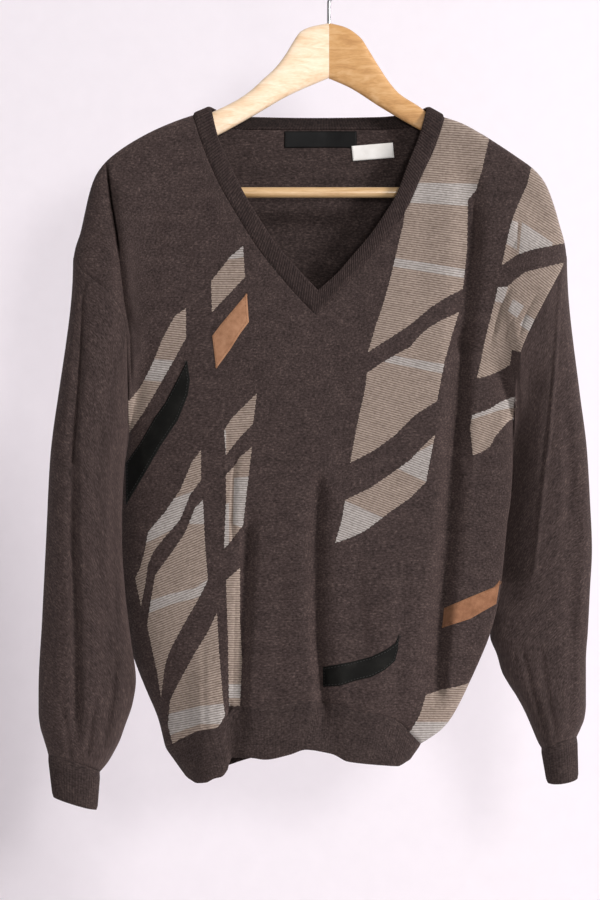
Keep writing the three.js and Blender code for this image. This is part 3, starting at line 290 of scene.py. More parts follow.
# Striped panels knitted into the front: the slope of their courses at the top and at the bottom,
# as down for each across, and their outlines
STRIPED = {
    "chest_right_upper": (0.05, 0.2, [
        (447, 110), (489, 139), (482, 170), (476, 190), (468, 200), (467, 250), (463, 289), (445, 298),
        (430, 308), (410, 325), (390, 338), (368, 352), (376, 325), (383, 305), (390, 280), (397, 250),
        (403, 225), (405, 212), (408, 196), (420, 165), (433, 135),
    ]),
    "chest_right_middle": (0.25, 0.3, [
        (459, 312), (440, 321), (430, 327), (420, 335), (410, 347), (400, 352), (380, 364), (367, 373),
        (365, 390), (358, 420), (350, 463), (375, 450), (395, 435), (415, 415), (437, 401), (440, 385),
        (445, 360), (452, 335),
    ]),
    "chest_right_lower": (0.37, 0.37, [
        (435, 435), (425, 444), (410, 460), (395, 471), (370, 488), (345, 500), (342, 520), (335, 543),
        (350, 538), (365, 531), (390, 512), (410, 498), (426, 482), (431, 455),
    ]),
    "shoulder_right_upper": (0.55, 0.66, [
        (533, 160), (560, 175), (580, 243), (565, 243), (550, 246), (530, 250), (517, 255), (502, 265),
        (507, 240), (512, 220), (520, 200), (527, 185),
    ]),
    "shoulder_right_lower": (0.85, 0.55, [
        (498, 287), (507, 287), (515, 280), (525, 272), (545, 267), (566, 262), (575, 300), (555, 320),
        (530, 358), (521, 352), (512, 350), (510, 365), (500, 371), (485, 377), (477, 378), (481, 360),
        (485, 340), (490, 320), (495, 300),
    ]),
    "side_right": (0.32, 0.42, [
        (530, 394), (516, 396), (500, 402), (490, 409), (472, 415), (470, 428), (473, 455), (480, 453),
        (490, 447), (495, 437), (503, 427), (508, 422), (530, 407),
    ]),
    "hem_right": (0.05, -0.05, [
        (480, 680), (468, 683), (460, 686), (440, 690), (426, 695), (420, 715), (409, 734), (412, 748),
        (440, 760), (470, 720),
    ]),
    "chest_left_upper": (0, 0, [
        (243, 246), (230, 257), (220, 270), (211, 281), (212, 312), (230, 293), (245, 277),
    ]),
    "chest_left_side": (0.1, 0.14, [
        (186, 308), (186, 338), (175, 358), (158, 388), (143, 413), (130, 432), (122, 440), (120, 405),
        (130, 400), (140, 388), (152, 365), (162, 340), (168, 328), (175, 316),
    ]),
    "middle_left_upper": (-0.06, -0.06, [
        (257, 393), (253, 424), (240, 437), (226, 455), (224, 430), (232, 418), (240, 410),
    ]),
    "middle_left_lower": (0, 0.03, [
        (252, 447), (247, 490), (243, 525), (228, 545), (224, 549), (226, 500), (226, 475), (235, 465),
        (240, 457),
    ]),
    "waist_left_strip": (0, 0.02, [
        (240, 568), (226, 580), (228, 640), (229, 706), (240, 706), (242, 660), (240, 620),
    ]),
    "side_left_upper": (-0.3, -0.45, [
        (201, 450), (201, 480), (190, 495), (180, 520), (165, 537), (153, 552), (148, 565), (145, 585),
        (141, 606), (135, 578), (140, 568), (145, 550), (148, 532), (165, 512), (180, 490), (192, 462),
    ]),
    "side_left_middle": (-0.44, -0.38, [
        (203, 500), (205, 545), (208, 580), (198, 600), (185, 622), (170, 650), (165, 665), (161, 697),
        (157, 672), (150, 640), (147, 625), (151, 600), (155, 575), (170, 555), (185, 533), (195, 508),
    ]),
    "hem_left": (-0.38, -0.14, [
        (217, 612), (219, 650), (223, 700), (225, 715), (218, 729), (198, 731), (178, 740), (173, 747),
        (168, 725), (170, 700), (180, 680), (195, 653), (209, 630),
    ]),
}
# Where a striped panel changes to the greyer yarn
GREY_BANDS = [
    [(380, 182), (490, 184), (490, 207), (380, 201)],
    [(385, 256), (475, 271), (475, 280), (385, 265)],
    [(360, 350), (455, 366), (455, 376), (360, 357)],
    [(392, 466), (440, 440), (440, 488), (424, 481)],
    [(330, 494), (386, 519), (372, 540), (325, 552)],
    [(505, 219), (518, 222), (517, 250), (500, 240)],
    [(522, 222), (553, 243), (545, 262), (518, 262)],
    [(490, 284), (508, 287), (503, 303), (488, 300)],
    [(513, 299), (524, 306), (517, 318), (508, 311)],
    [(526, 314), (535, 320), (530, 332), (520, 325)],
    [(465, 408), (500, 396), (535, 388), (535, 404), (500, 410), (470, 420)],
    [(405, 722), (450, 722), (450, 760), (400, 760)],
    [(228, 240), (250, 240), (250, 256), (226, 260)],
    [(120, 356), (190, 362), (186, 384), (120, 378)],
    [(221, 430), (226, 430), (226, 460), (221, 460)],
    [(234, 478), (252, 476), (247, 530), (233, 524)],
    [(222, 505), (229, 503), (229, 546), (222, 552)],
    [(128, 520), (170, 500), (206, 486), (206, 516), (172, 530), (128, 552)],
    [(194, 496), (208, 496), (208, 524), (190, 524)],
    [(145, 602), (170, 594), (195, 588), (210, 578), (212, 590), (196, 598), (172, 604), (146, 614)],
    [(224, 684), (246, 684), (246, 698), (224, 698)],
    [(160, 716), (176, 712), (200, 706), (230, 703), (230, 724), (200, 724), (178, 732), (160, 740)],
]
OUTLINE_STEP, OUTLINE_RAGGED, OUTLINE_CLEAR = 2.7, 0.35, 1.0
PATCHES = {
    "suede_patch_upper": [
        (247, 293), (249, 322), (240, 334), (230, 350), (216, 369), (212, 336), (220, 325), (231, 312),
    ],
    "suede_patch_lower": [
        (500, 580), (494, 587), (465, 599), (444, 608), (442, 628), (470, 619), (496, 604),
    ],
    "leather_patch_left": [
        (187, 360), (190, 380), (188, 395), (178, 420), (160, 447), (140, 482), (126, 505), (126, 463),
        (140, 443), (155, 417), (165, 403), (178, 378),
    ],
    "leather_patch_right": [
        (399, 634), (395, 643), (385, 650), (370, 657), (350, 662), (323, 667), (323, 687), (340, 686),
        (355, 681), (372, 677), (385, 670), (395, 661), (398, 650),
    ],
}
NECK_LABEL = {"across": 320.5, "down": 139.8, "width": 73, "height": 16.5, "tilt": 0, "under": 2.35}
NAME_LABEL = {"across": 373, "down": 152, "width": 41.5, "height": 15, "tilt": 0.09, "under": 3.1}

# Hanger
ARM_THICK_MIDDLE, ARM_THICK_TIP = 12, 16
ARM_TIP_ROUND, ARM_TIP_LOWER, ARM_TIP_THINNER, ARM_EDGE = 9, 0.55, 0.5, 0.7
WOOD_BELOW_CLOTH = 2.4
ARM_LEFT = {
    "top": [
        (329, 23), (310, 27), (300, 32), (293, 42), (285, 55), (275, 68), (262, 80), (250, 91), (235, 101),
        (212, 112), (192, 119.2),
    ],
    "under": [
        (329, 78), (290, 95), (255, 115), (217, 136), (190, 149), (165, 161), (150, 176), (139, 193),
        (127, 201), (115, 199),
    ],
    "tip": 115, "range": (115, MIDDLE - 0.05),
}
ARM_RIGHT = {
    "top": [
        (330, 23), (345, 27), (360, 37), (370, 52), (378, 65), (390, 83), (400, 94), (420, 107),
        (427, 112.6), (436, 118.2), (445, 122.5),
    ],
    "under": [
        (330, 79), (350, 88), (380, 107), (420, 130), (460, 148), (495, 163), (504, 175), (517, 193),
        (529, 201), (541, 199),
    ],
    "tip": 541, "range": (MIDDLE + 0.05, 541),
}
BAR = {"radius": 5.2, "from": 128, "to": 528, "down": 192.5, "depth": -32}
HOOK = {"wire": 4, "inner": 20, "stem_foot": -74, "stem_top": -52}


def mix(a, b, t):
    return a + (b - a) * t


def ease(start, end, value):
    t = np.clip((value - start) / (end - start), 0, 1)
    return t * t * (3 - 2 * t)


def through(pairs, key):
    """A smooth curve through (key, value) pairs that never overshoots them."""
    keys, values = np.array(sorted(pairs), float).T
    slope = np.diff(values) / np.diff(keys)
    before, after = slope[:-1], slope[1:]
    same = before * after > 0
    middle = np.where(same, 2 * before * after / np.where(same, before + after, 1), 0)
    bend = np.concatenate([slope[:1], middle, slope[-1:]])
    key = np.clip(key, keys[0], keys[-1])
    i = np.clip(np.searchsorted(keys, key, side="right") - 1, 0, len(keys) - 2)
    span = keys[i + 1] - keys[i]
    t = (key - keys[i]) / span
    rise = values[i + 1] - values[i]
    a = bend[i] * span - rise
    b = rise - bend[i + 1] * span
    return values[i] + rise * t + t * (1 - t) * (a * (1 - t) + b * t)


def lengths(points):
    steps = np.linalg.norm(np.diff(points, axis=0), axis=1)
    return np.concatenate([[0], np.cumsum(steps)])


def along(line, shares):
    """Places at shares of the length of a line of across and down, rounded through its points."""
    points = np.array(line, float)
    length = lengths(points)
    at = np.asarray(shares) * length[-1]
    return np.stack([through(list(zip(length, points[:, k])), at) for k in (0, 1)], -1)


def nearest(line, across, down):
    """Distance to a line, how far along it, its whole length, and the nearest place's across."""
    shape = np.broadcast(across, down).shape
    best = np.full(shape, np.inf)
    gone = np.zeros(shape)
    at = np.zeros(shape)
    length = 0.0
    for (ax, ay), (bx, by) in zip(line[:-1], line[1:]):
        dx, dy = bx - ax, by - ay
        step = math.hypot(dx, dy)
        if step == 0:
            continue
        t = np.clip(((across - ax) * dx + (down - ay) * dy) / step ** 2, 0, 1)
        distance = np.hypot(across - ax - dx * t, down - ay - dy * t)
        closer = distance < best
        best = np.where(closer, distance, best)
        gone = np.where(closer, length + step * t, gone)
        at = np.where(closer, ax + dx * t, at)
        length += step
    return best, gone, length, at


def folds_at(folds, across, down, fade):
    """How far the folds push the cloth in at places."""
    pushed = 0.0
    for line, wide, deep in folds:
        distance, gone, length, _ = nearest(line, across, down)
        profile = np.where(distance < wide, np.cos(distance / wide * math.pi) / 2 + 0.5, 0)
        pushed = pushed + deep * profile * ease(0, fade, gone) * ease(0, fade, length - gone + fade / 2)
    return pushed


def place(across, down, depth):
    """From what is seen square on to points of the frame, in metres."""
    near = 1 + depth / EYE_DISTANCE
    x = EYE_X + (DATUM_X + across - EYE_X) * near
    z = EYE_Z + (DATUM_Z - down - EYE_Z) * near
    return np.stack(np.broadcast_arrays(x, depth, z), -1) * MM


# Body panels
EVEN = np.linspace(0, 1, 60)
RIDGE = [
    *map(tuple, along(SHOULDER_LEFT, EVEN)), BAND_EDGE_LEFT[0], BAND_EDGE_RIGHT[-1],
    *map(tuple, along(SHOULDER_RIGHT, EVEN)),
]
RIDGE_SNAP = 0.05


def below_arm(pairs, underarm):
    return [pair for pair in pairs if pair[0] > underarm[1]]


FRONT = {
    "left": SIDE_LEFT, "right": SIDE_RIGHT,
    "depth_left": SIDE_DEPTH_LEFT, "depth_right": SIDE_DEPTH_RIGHT,
    "middle": FRONT_DEPTH, "neck": [*NECK_LEFT, *NECK_RIGHT[1:]], "hem": HEM_SEAM_FRONT,
    "neck_steps": NECK_STEPS,
    "folds": FRONT_FOLDS, "creases": FRONT_CREASES, "facing": -1,
}
BACK = {
    "left": [*below_arm(SIDE_LEFT, UNDERARM_LEFT), *ARMHOLE_BACK_LEFT],
    "right": [*below_arm(SIDE_RIGHT, UNDERARM_RIGHT), *ARMHOLE_BACK_RIGHT],
    "depth_left": [*below_arm(SIDE_DEPTH_LEFT, UNDERARM_LEFT), *ARMHOLE_DEPTH_LEFT],
    "depth_right": [*below_arm(SIDE_DEPTH_RIGHT, UNDERARM_RIGHT), *ARMHOLE_DEPTH_RIGHT],
    "middle": BACK_DEPTH, "neck": NECK_BACK, "hem": HEM_SEAM_BACK,
    "neck_steps": NECK_STEPS_BACK,
    "folds": BACK_FOLDS, "creases": BACK_CREASES, "facing": 1,
}


def refined(steps):
    count = (len(steps) - 1) * COLUMNS_BETWEEN
    return np.interp(np.arange(count + 1) / COLUMNS_BETWEEN, np.arange(len(steps)), steps)


def columns_of(panel):
    """Each column's share over the hem and its place on the shoulder and neck line."""
    def turned(steps):
        return [1 - t for t in reversed(steps)]

    half = [x for x, _ in panel["neck"]].index(V_POINT[0])
    lines = [
        (SHOULDER_LEFT, SHOULDER_STEPS),
        (panel["neck"][:half + 1], panel["neck_steps"]),
        (panel["neck"][half:], turned(panel["neck_steps"])),
        (SHOULDER_RIGHT, turned(SHOULDER_STEPS)),
    ]
    tops = []
    for line, steps in lines:
        stretch = along(line, refined(steps))
        tops.append(stretch[1:] if tops else stretch)
    tops = np.concatenate(tops)
    return np.linspace(-1, 1, len(tops)), tops


def ridge_depth(across):
    x = np.abs(across - MIDDLE)
    return -ARM_SWEEP * x - DROP_FORWARD * ease(DROP_FROM, DROP_TO, x)


def left_down(v):
    return mix(HEM_LEFT[1], TIP_LEFT[1], v)


def right_down(v):
    return mix(HEM_RIGHT[1], TIP_RIGHT[1], v)


def drift(across, down):
    """The slow unevenness of a knit that has been worn and washed."""
    return (
        0.7 * np.sin(across / 31 + np.sin(down / 57))
        * np.sin(down / 83 + 1.3 + 0.4 * np.sin(across / 49))
        + 0.35 * np.sin(across / 13 + down / 71) * np.sin(down / 29 - across / 97)
    )


def panel_depth(panel, across, down, share, v):
    left = through(panel["depth_left"], left_down(v))
    right = through(panel["depth_right"], right_down(v))
    side = mix(left, right, share)
    s = 2 * share - 1
    form = mix(np.sqrt(np.maximum(0, 1 - s * s)), 1 - s ** 4, ease(UNDERARM, YOKE, v))
    body = side + (through(panel["middle"], down) - side) * form
    distance, _, _, at = nearest(RIDGE, across, down)
    distance = np.maximum(0, distance - RIDGE_SNAP)
    radius = through(RIDGE_ROUND, at)
    lift = 1 - np.minimum(distance / radius, 1)
    hung = ridge_depth(at) + panel["facing"] * radius * np.sqrt(1 - lift * lift)
    opened = ease(0, through(RIDGE_REACH, at), distance)
    folded = folds_at(panel["folds"], across, down, FOLD_FADE)
    small = folds_at(panel["creases"], across, down, CREASE_FADE) + drift(across, down)
    edges = ease(0, 0.05, share) * ease(0, 0.05, 1 - share)
    folded = (folded + small * edges) * ease(0, FOLDS_BELOW_RIDGE, distance)
    return mix(hung, body, opened) - panel["facing"] * folded


def hem_share(u):
    return (1 + np.sin(u * math.pi / 2)) / 2


def shoulder_share(across):
    return (across - TIP_LEFT[0]) / (TIP_RIGHT[0] - TIP_LEFT[0])


def panel_places(panel, u, top, v):
    """Across, down and depth of places of a panel."""
    share = mix(hem_share(u), shoulder_share(top[..., 0]), v)
    left = through(panel["left"], left_down(v))
    right = through(panel["right"], right_down(v))
    left_pull = (left - mix(HEM_LEFT[0], TIP_LEFT[0], v)) * (1 - share) ** SIDE_PULL
    right_pull = (right - mix(HEM_RIGHT[0], TIP_RIGHT[0], v)) * share ** SIDE_PULL
    start = mix(HEM_LEFT[0], HEM_RIGHT[0], hem_share(u))
    across = mix(start, top[..., 0], v) + left_pull + right_pull
    down = mix(through(panel["hem"], start), top[..., 1], v)
    covered = np.clip((across - left) / (right - left), 0, 1)
    return across, down, panel_depth(panel, across, down, covered, v)


ABOVE = 1 - (1 - np.linspace(0, 1, ROWS_ABOVE_ARM)) ** 1.5
ROWS = np.concatenate([np.linspace(0, UNDERARM, ROWS_BELOW_ARM), UNDERARM + (1 - UNDERARM) * ABOVE[1:]])


def grid_normals(points, closed=False):
    """Unit normals of a grid of points, rows by columns, to one side of it."""
    if closed:
        wrapped = np.concatenate([points[:, -1:], points, points[:, :1]], 1)
        across = (wrapped[:, 2:] - wrapped[:, :-2])
    else:
        across = np.gradient(points, axis=1)
    along_rows = np.gradient(points, axis=0)
    normals = np.cross(across, along_rows)
    size = np.linalg.norm(normals, axis=-1, keepdims=True)
    return normals / np.maximum(size, 1e-12)


def rolled(distance):
    """How far the cloth is drawn in at a distance from a seam, in metres."""
    return SEAM_TUCK * MM * np.exp(-(distance / (SEAM_ROLL * MM)) ** 2)


def make_panel(panel):
    u, tops = columns_of(panel)
    across, down, depth = panel_places(panel, u[None, :], tops[None, :, :], ROWS[:, None])
    points = place(across, down, depth)
    normals = -panel["facing"] * grid_normals(points)
    if (normals[CLEAR_OF_EDGES, CLEAR_OF_EDGES:-CLEAR_OF_EDGES, 1] * panel["facing"]).mean() < 0:
        normals = -normals
    steps_across = np.linalg.norm(np.diff(points, axis=1), axis=2)
    from_left = np.concatenate([np.zeros((len(ROWS), 1)), np.cumsum(steps_across, 1)], 1)
    steps_down = np.linalg.norm(np.diff(points, axis=0), axis=2)
    from_hem = np.concatenate([np.zeros((1, len(u))), np.cumsum(steps_down, 0)], 0)
    tuck = (rolled(from_left) + rolled(from_left[:, -1:] - from_left)) * SIDE_TUCK
    tuck += rolled(from_hem) * HEM_TUCK + rolled(from_hem[-1:] - from_hem) * TOP_TUCK
    middle = len(u) // 2
    cloth_across = from_left - from_left[:, middle:middle + 1]
    panel.update(
        across=across, down=down, seam=points.copy(), points=points - normals * tuck[..., None],
        normals=normals, cloth=np.stack([cloth_across, -down * MM], -1), columns=u, tops=tops,
    )


make_panel(FRONT)
make_panel(BACK)


def grid_at(values, i, j):
    """Values of a grid at fractional rows and columns."""
    rows, columns = values.shape[:2]
    i0 = np.clip(np.floor(i).astype(int), 0, rows - 2)
    j0 = np.clip(np.floor(j).astype(int), 0, columns - 2)
    s, t = i - i0, j - j0
    if values.ndim == 3:
        s, t = s[..., None], t[..., None]
    near = mix(values[i0, j0], values[i0, j0 + 1], t)
    far = mix(values[i0 + 1, j0], values[i0 + 1, j0 + 1], t)
    return mix(near, far, s)


def find_on(panel, places):
    """Fractional rows and columns of a panel at places of across and down."""
    across, down = panel["across"], panel["down"]
    places = np.asarray(places, float)
    flat = np.stack([across.ravel(), down.ravel()], 1)
    first = [int(np.argmin(((flat - p) ** 2).sum(1))) for p in places]
    i, j = (k.astype(float) for k in np.unravel_index(first, across.shape))
    last_row, last_column = across.shape[0] - 1, across.shape[1] - 1
    h = 0.25
    for _ in range(12):
        a, d = grid_at(across, i, j), grid_at(down, i, j)
        i_side = np.where(i + h > last_row, -h, h)
        j_side = np.where(j + h > last_column, -h, h)
        a_i = (grid_at(across, i + i_side, j) - a) / i_side
        d_i = (grid_at(down, i + i_side, j) - d) / i_side
        a_j = (grid_at(across, i, j + j_side) - a) / j_side
        d_j = (grid_at(down, i, j + j_side) - d) / j_side
        miss_a, miss_d = places[:, 0] - a, places[:, 1] - d
        size = a_i * d_j - a_j * d_i
        size = np.where(np.abs(size) < 1e-9, 1e-9, size)
        i = np.clip(i + np.clip((miss_a * d_j - a_j * miss_d) / size, -3, 3), 0, last_row)
        j = np.clip(j + np.clip((a_i * miss_d - miss_a * d_i) / size, -3, 3), 0, last_column)
    return i, j


# Meshes
def make_object(name, verts, faces, material, smooth=True):
    """A mesh object with one material or a list of them."""
    mesh = bpy.data.meshes.new(name)
    mesh.from_pydata([tuple(v) for v in np.asarray(verts, float)], [], faces)
    mesh.update()
    if smooth:
        mesh.shade_smooth()
    obj = bpy.data.objects.new(name, mesh)
    bpy.context.scene.collection.objects.link(obj)
    for one in material if isinstance(material, list) else [material]:
        mesh.materials.append(one)
    return obj


def grid_faces(rows, columns, closed=False):
    wide = columns if closed else columns - 1
    i, j = (k.ravel() for k in np.meshgrid(np.arange(rows - 1), np.arange(wide), indexing="ij"))
    k = (j + 1) % columns
    return np.stack([i * columns + j, i * columns + k, (i + 1) * columns + k, (i + 1) * columns + j], 1)


def with_ends(faces, rings, sides):
    """Adds a face at each end of a closed grid."""
    last = (rings - 1) * sides
    return faces + [list(range(sides)), list(range(last + sides - 1, last - 1, -1))]


def facing_out(verts, faces, normals):
    """Turns the faces round where they face against the normals."""
    a, b, c = (np.asarray(verts)[faces[:, k]] for k in (0, 1, 2))
    face_normals = np.cross(b - a, c - a)
    agree = (face_normals * np.asarray(normals)[faces[:, 0]]).sum()
    return (faces if agree > 0 else faces[:, ::-1]).tolist()


def thicken(obj, wall):
    shell = obj.modifiers.new("wall", "SOLIDIFY")
    shell.thickness = wall * MM
    shell.offset = -1
    shell.use_even_offset = False
    return obj


def cloth_grid(name, points, normals, uv, material, wall, closed=False):
    """A wall of cloth from a grid of points, with its seam opened in the cloth's own map."""
    if closed:
        points, normals = (np.concatenate([a, a[:, :1]], 1) for a in (points, normals))
    rows, columns = points.shape[:2]
    verts, normals = points.reshape(-1, 3), normals.reshape(-1, 3)
    if closed:
        ids = np.arange(rows * columns).reshape(rows, columns)
        ids[:, -1] = ids[:, 0]
        faces = ids.ravel()[grid_faces(rows, columns)]
    else:
        faces = grid_faces(rows, columns)
    faces = facing_out(verts, faces, normals)
    obj = make_object(name, verts, faces, material)
    mesh = obj.data
    layer = mesh.uv_layers.new(name="cloth")
    plain = np.asarray(facing_out(verts, grid_faces(rows, columns), normals))
    layer.uv.foreach_set("vector", uv.reshape(-1, 2).astype(np.float32)[plain.ravel()].ravel())
    if closed:
        loose = [v.index for v in mesh.vertices if v.index % columns == columns - 1]
        keep = np.ones(len(mesh.vertices), bool)
        keep[loose] = False
        remove_loose(mesh, keep)
    return thicken(obj, wall)


def remove_loose(mesh, keep):
    bm = bmesh.new()
    bm.from_mesh(mesh)
    bm.verts.ensure_lookup_table()
    bmesh.ops.delete(bm, geom=[v for v in bm.verts if not keep[v.index]], context="VERTS")
    bm.to_mesh(mesh)
    bm.free()


# Finishes
def linear(code):
    """An sRGB hex colour as linear red, green, blue and alpha."""
    channels = [int(code[k:k + 2], 16) / 255 for k in (1, 3, 5)]
    return [c / 12.92 if c <= 0.04045 else ((c + 0.055) / 1.055) ** 2.4 for c in channels] + [1.0]


def per_metre(size):
    """How many of a size in millimetres go into a metre, which is a pattern's scale."""
    return 1 / (size * MM)


def fill_in(tree, node, inputs):
    """Links or sets a node's inputs."""
    for key, value in inputs.items():
        if isinstance(value, bpy.types.NodeSocket):
            tree.links.new(value, node.inputs[key])
        else:
            node.inputs[key].default_value = value


def add_node(tree, kind, inputs, stops=(), **settings):
    """A node with its settings, links and any colour stops; returns its first output."""
    node = tree.nodes.new(kind)
    for key, value in settings.items():
        setattr(node, key, value)
    fill_in(tree, node, inputs)
    if stops:
        elements = node.color_ramp.elements
        while len(elements) < len(stops):
            elements.new(0.5)
        for element, (at, code) in zip(elements, stops):
            element.position, element.color = at, linear(code)
    return node.outputs[0]


def new_finish(name):
    material = bpy.data.materials.new(name)
    material.use_nodes = True
    tree = material.node_tree
    tree.nodes.clear()
    surface = tree.nodes.new("ShaderNodeBsdfPrincipled")
    output = tree.nodes.new("ShaderNodeOutputMaterial")
    tree.links.new(surface.outputs[0], output.inputs["Surface"])
    return material, tree, surface


# Sizes of the patterns, in millimetres
WALE, COURSE = 1.6, 1.3  # one knitted stitch across and along
STRIPE, RIB_PITCH = 2.3, 3.1  # one light and one dark stripe together, and one rib
YARN_FLECK, YARN_CLOUD = 1.613, 11.11
SUEDE_MOTTLE, SUEDE_NAP = 7.692, 0.4545  # the nap is drawn coarser than it is
NAPPA_PEBBLE, NAPPA_WEAR = 1.111, 14.29
TAPE_SOIL, STEEL_HAZE, THREAD_TWIST, ROLLER_MARK = 16.67, 3.333, 0.5556, 25
BEECH_GRAIN, BEECH_FLECK = (62.5, 5.208, 5.208), (6.25, 1.111, 1.111)  # along the wood and across

# Shapes of the patterns
LEG_LEAN, LEG_HEIGHT = 1.3, 1.1  # of the two legs of a stitch
YARN_ALONG = 0.4  # makes the marks of the yarn 2.5 times as long along a course
WAVE_PERIOD = 2 * math.pi / 20  # of the wave texture at a scale of 1


def stitches(tree):
    """The knitted face: two leaning legs in each stitch. Returns the place on the cloth, the height
    and a number for each stitch."""
    cloth = add_node(tree, "ShaderNodeUVMap", {}, uv_map="cloth")
    parts = add_node(tree, "ShaderNodeSeparateXYZ", {0: cloth}).node.outputs
    wales = add_node(tree, "ShaderNodeMath", {0: parts[0], 1: per_metre(WALE)}, operation="MULTIPLY")
    courses = add_node(tree, "ShaderNodeMath", {0: parts[1], 1: per_metre(COURSE)}, operation="MULTIPLY")
    lean = add_node(tree, "ShaderNodeMath", {0: wales, 1: 0.5}, operation="PINGPONG")
    raised = add_node(tree, "ShaderNodeMath", {0: lean, 1: LEG_LEAN, 2: courses}, operation="MULTIPLY_ADD")
    rows = add_node(tree, "ShaderNodeMath", {0: raised, 1: 0.5}, operation="PINGPONG")
    legs = add_node(tree, "ShaderNodeMath", {0: wales, 1: 0.25}, operation="PINGPONG")
    height = add_node(tree, "ShaderNodeMath", {0: rows, 1: LEG_HEIGHT, 2: legs}, operation="MULTIPLY_ADD")
    cell_x = add_node(tree, "ShaderNodeMath", {0: wales}, operation="FLOOR")
    cell_y = add_node(tree, "ShaderNodeMath", {0: raised}, operation="FLOOR")
    cell = add_node(tree, "ShaderNodeCombineXYZ", {0: cell_x, 1: cell_y})
    each = add_node(tree, "ShaderNodeTexWhiteNoise", {"Vector": cell}, noise_dimensions="2D")
    return parts, height, each


def melange(tree, parts, each):
    """A number from 0 to 1 that varies as a heathered yarn does along its courses."""
    squeezed = add_node(tree, "ShaderNodeMath", {0: parts[0], 1: YARN_ALONG}, operation="MULTIPLY")
    stretched = add_node(tree, "ShaderNodeCombineXYZ", {0: squeezed, 1: parts[1]})
    yarn = add_node(
        tree, "ShaderNodeTexNoise",
        {"Vector": stretched, "Scale": per_metre(YARN_FLECK), "Detail": 2.0, "Roughness": 0.6},
        noise_dimensions="2D",
    )
    cloudy = add_node(
        tree, "ShaderNodeTexNoise",
        {"Vector": stretched, "Scale": per_metre(YARN_CLOUD), "Detail": 3.0, "Roughness": 0.55},
        noise_dimensions="2D",
    )
    fine = add_node(tree, "ShaderNodeMath", {0: yarn, 1: 0.8, 2: -0.3}, operation="MULTIPLY_ADD")
    speckled = add_node(tree, "ShaderNodeMath", {0: each, 1: 0.22, 2: fine}, operation="MULTIPLY_ADD")
    return add_node(tree, "ShaderNodeMath", {0: cloudy, 1: 0.3, 2: speckled}, operation="MULTIPLY_ADD")


def wool(name, stops, light=(), sheen="#8F7A74", relief=0.35, ribbed=False):
    """Fine wool jersey: heathered yarn, matt and a little hairy, with the stitches as a soft relief.
    Where light stops are given, thin stripes of the lighter yarn cross it. A ribbed one has painted
    shade: its colour is darker in the grooves between its ribs."""
    material, tree, surface = new_finish(name)
    parts, height, each = stitches(tree)
    tone = melange(tree, parts, each)
    colour = add_node(tree, "ShaderNodeValToRGB", {"Fac": tone}, stops)
    if light:
        turns = 2 * math.pi * per_metre(STRIPE)
        wave = add_node(tree, "ShaderNodeMath", {0: parts[1], 1: turns}, operation="MULTIPLY")
        wave = add_node(tree, "ShaderNodeMath", {0: wave}, operation="SINE")
        stripe = add_node(
            tree, "ShaderNodeMapRange", {"Value": wave, "From Min": -0.75, "From Max": 0.1},
            interpolation_type="SMOOTHSTEP",
        )
        paler = add_node(tree, "ShaderNodeValToRGB", {"Fac": tone}, light)
        mixed = add_node(tree, "ShaderNodeMix", {0: stripe, 6: colour, 7: paler}, data_type="RGBA")
        colour = mixed.node.outputs[2]
    # Painted shade: the colour is darkened in the grooves between the ribs.
    if ribbed:
        ribs = add_node(tree, "ShaderNodeMath", {0: parts[0], 1: per_metre(RIB_PITCH)}, operation="MULTIPLY")
        ribs = add_node(tree, "ShaderNodeMath", {0: ribs, 1: 0.5}, operation="PINGPONG")
        painted_groove_shade = add_node(tree, "ShaderNodeMapRange", {"Value": ribs, "From Max": 0.28, "To Min": 0.45})
        colour = add_node(tree, "ShaderNodeHueSaturation", {"Value": painted_groove_shade, "Color": colour})
    bump = add_node(tree, "ShaderNodeBump", {"Height": height, "Strength": relief, "Distance": 0.45 * MM})
    fill_in(tree, surface, {
        "Base Color": colour, "Roughness": 0.92, "Diffuse Roughness": 1.0, "Specular IOR Level": 0.25,
        "Sheen Weight": 0.12, "Sheen Roughness": 0.5, "Sheen Tint": linear(sheen), "Normal": bump,
    })
    return material


CHARCOAL = [(0.1, "#281F1D"), (0.36, "#3D312F"), (0.52, "#4C3F3C"), (0.7, "#62524E"), (0.92, "#83706C")]
# A darker copy of the charcoal yarn for the hem and cuffs: painted shade of the lower bands.
HEM_CHARCOAL_PAINTED_SHADE = [
    (0.1, "#241B1A"), (0.36, "#382D2B"), (0.52, "#453936"), (0.7, "#594B48"), (0.92, "#746460"),
]
RIB_CHARCOAL = [(0.1, "#241B1A"), (0.4, "#392D2B"), (0.6, "#483B38"), (0.85, "#61524E")]
STRIPE_DARK = [(0.1, "#5E4E44"), (0.5, "#76665B"), (0.9, "#8C7C70")]
STRIPE_BEIGE = [(0.1, "#8A7C72"), (0.5, "#A6978C"), (0.9, "#BEAFA4")]
STRIPE_DARK_GREY = [(0.1, "#6F6863"), (0.5, "#88807B"), (0.9, "#9F9893")]
STRIPE_GREY = [(0.1, "#9B9591"), (0.5, "#B6B0AC"), (0.9, "#CFCAC6")]


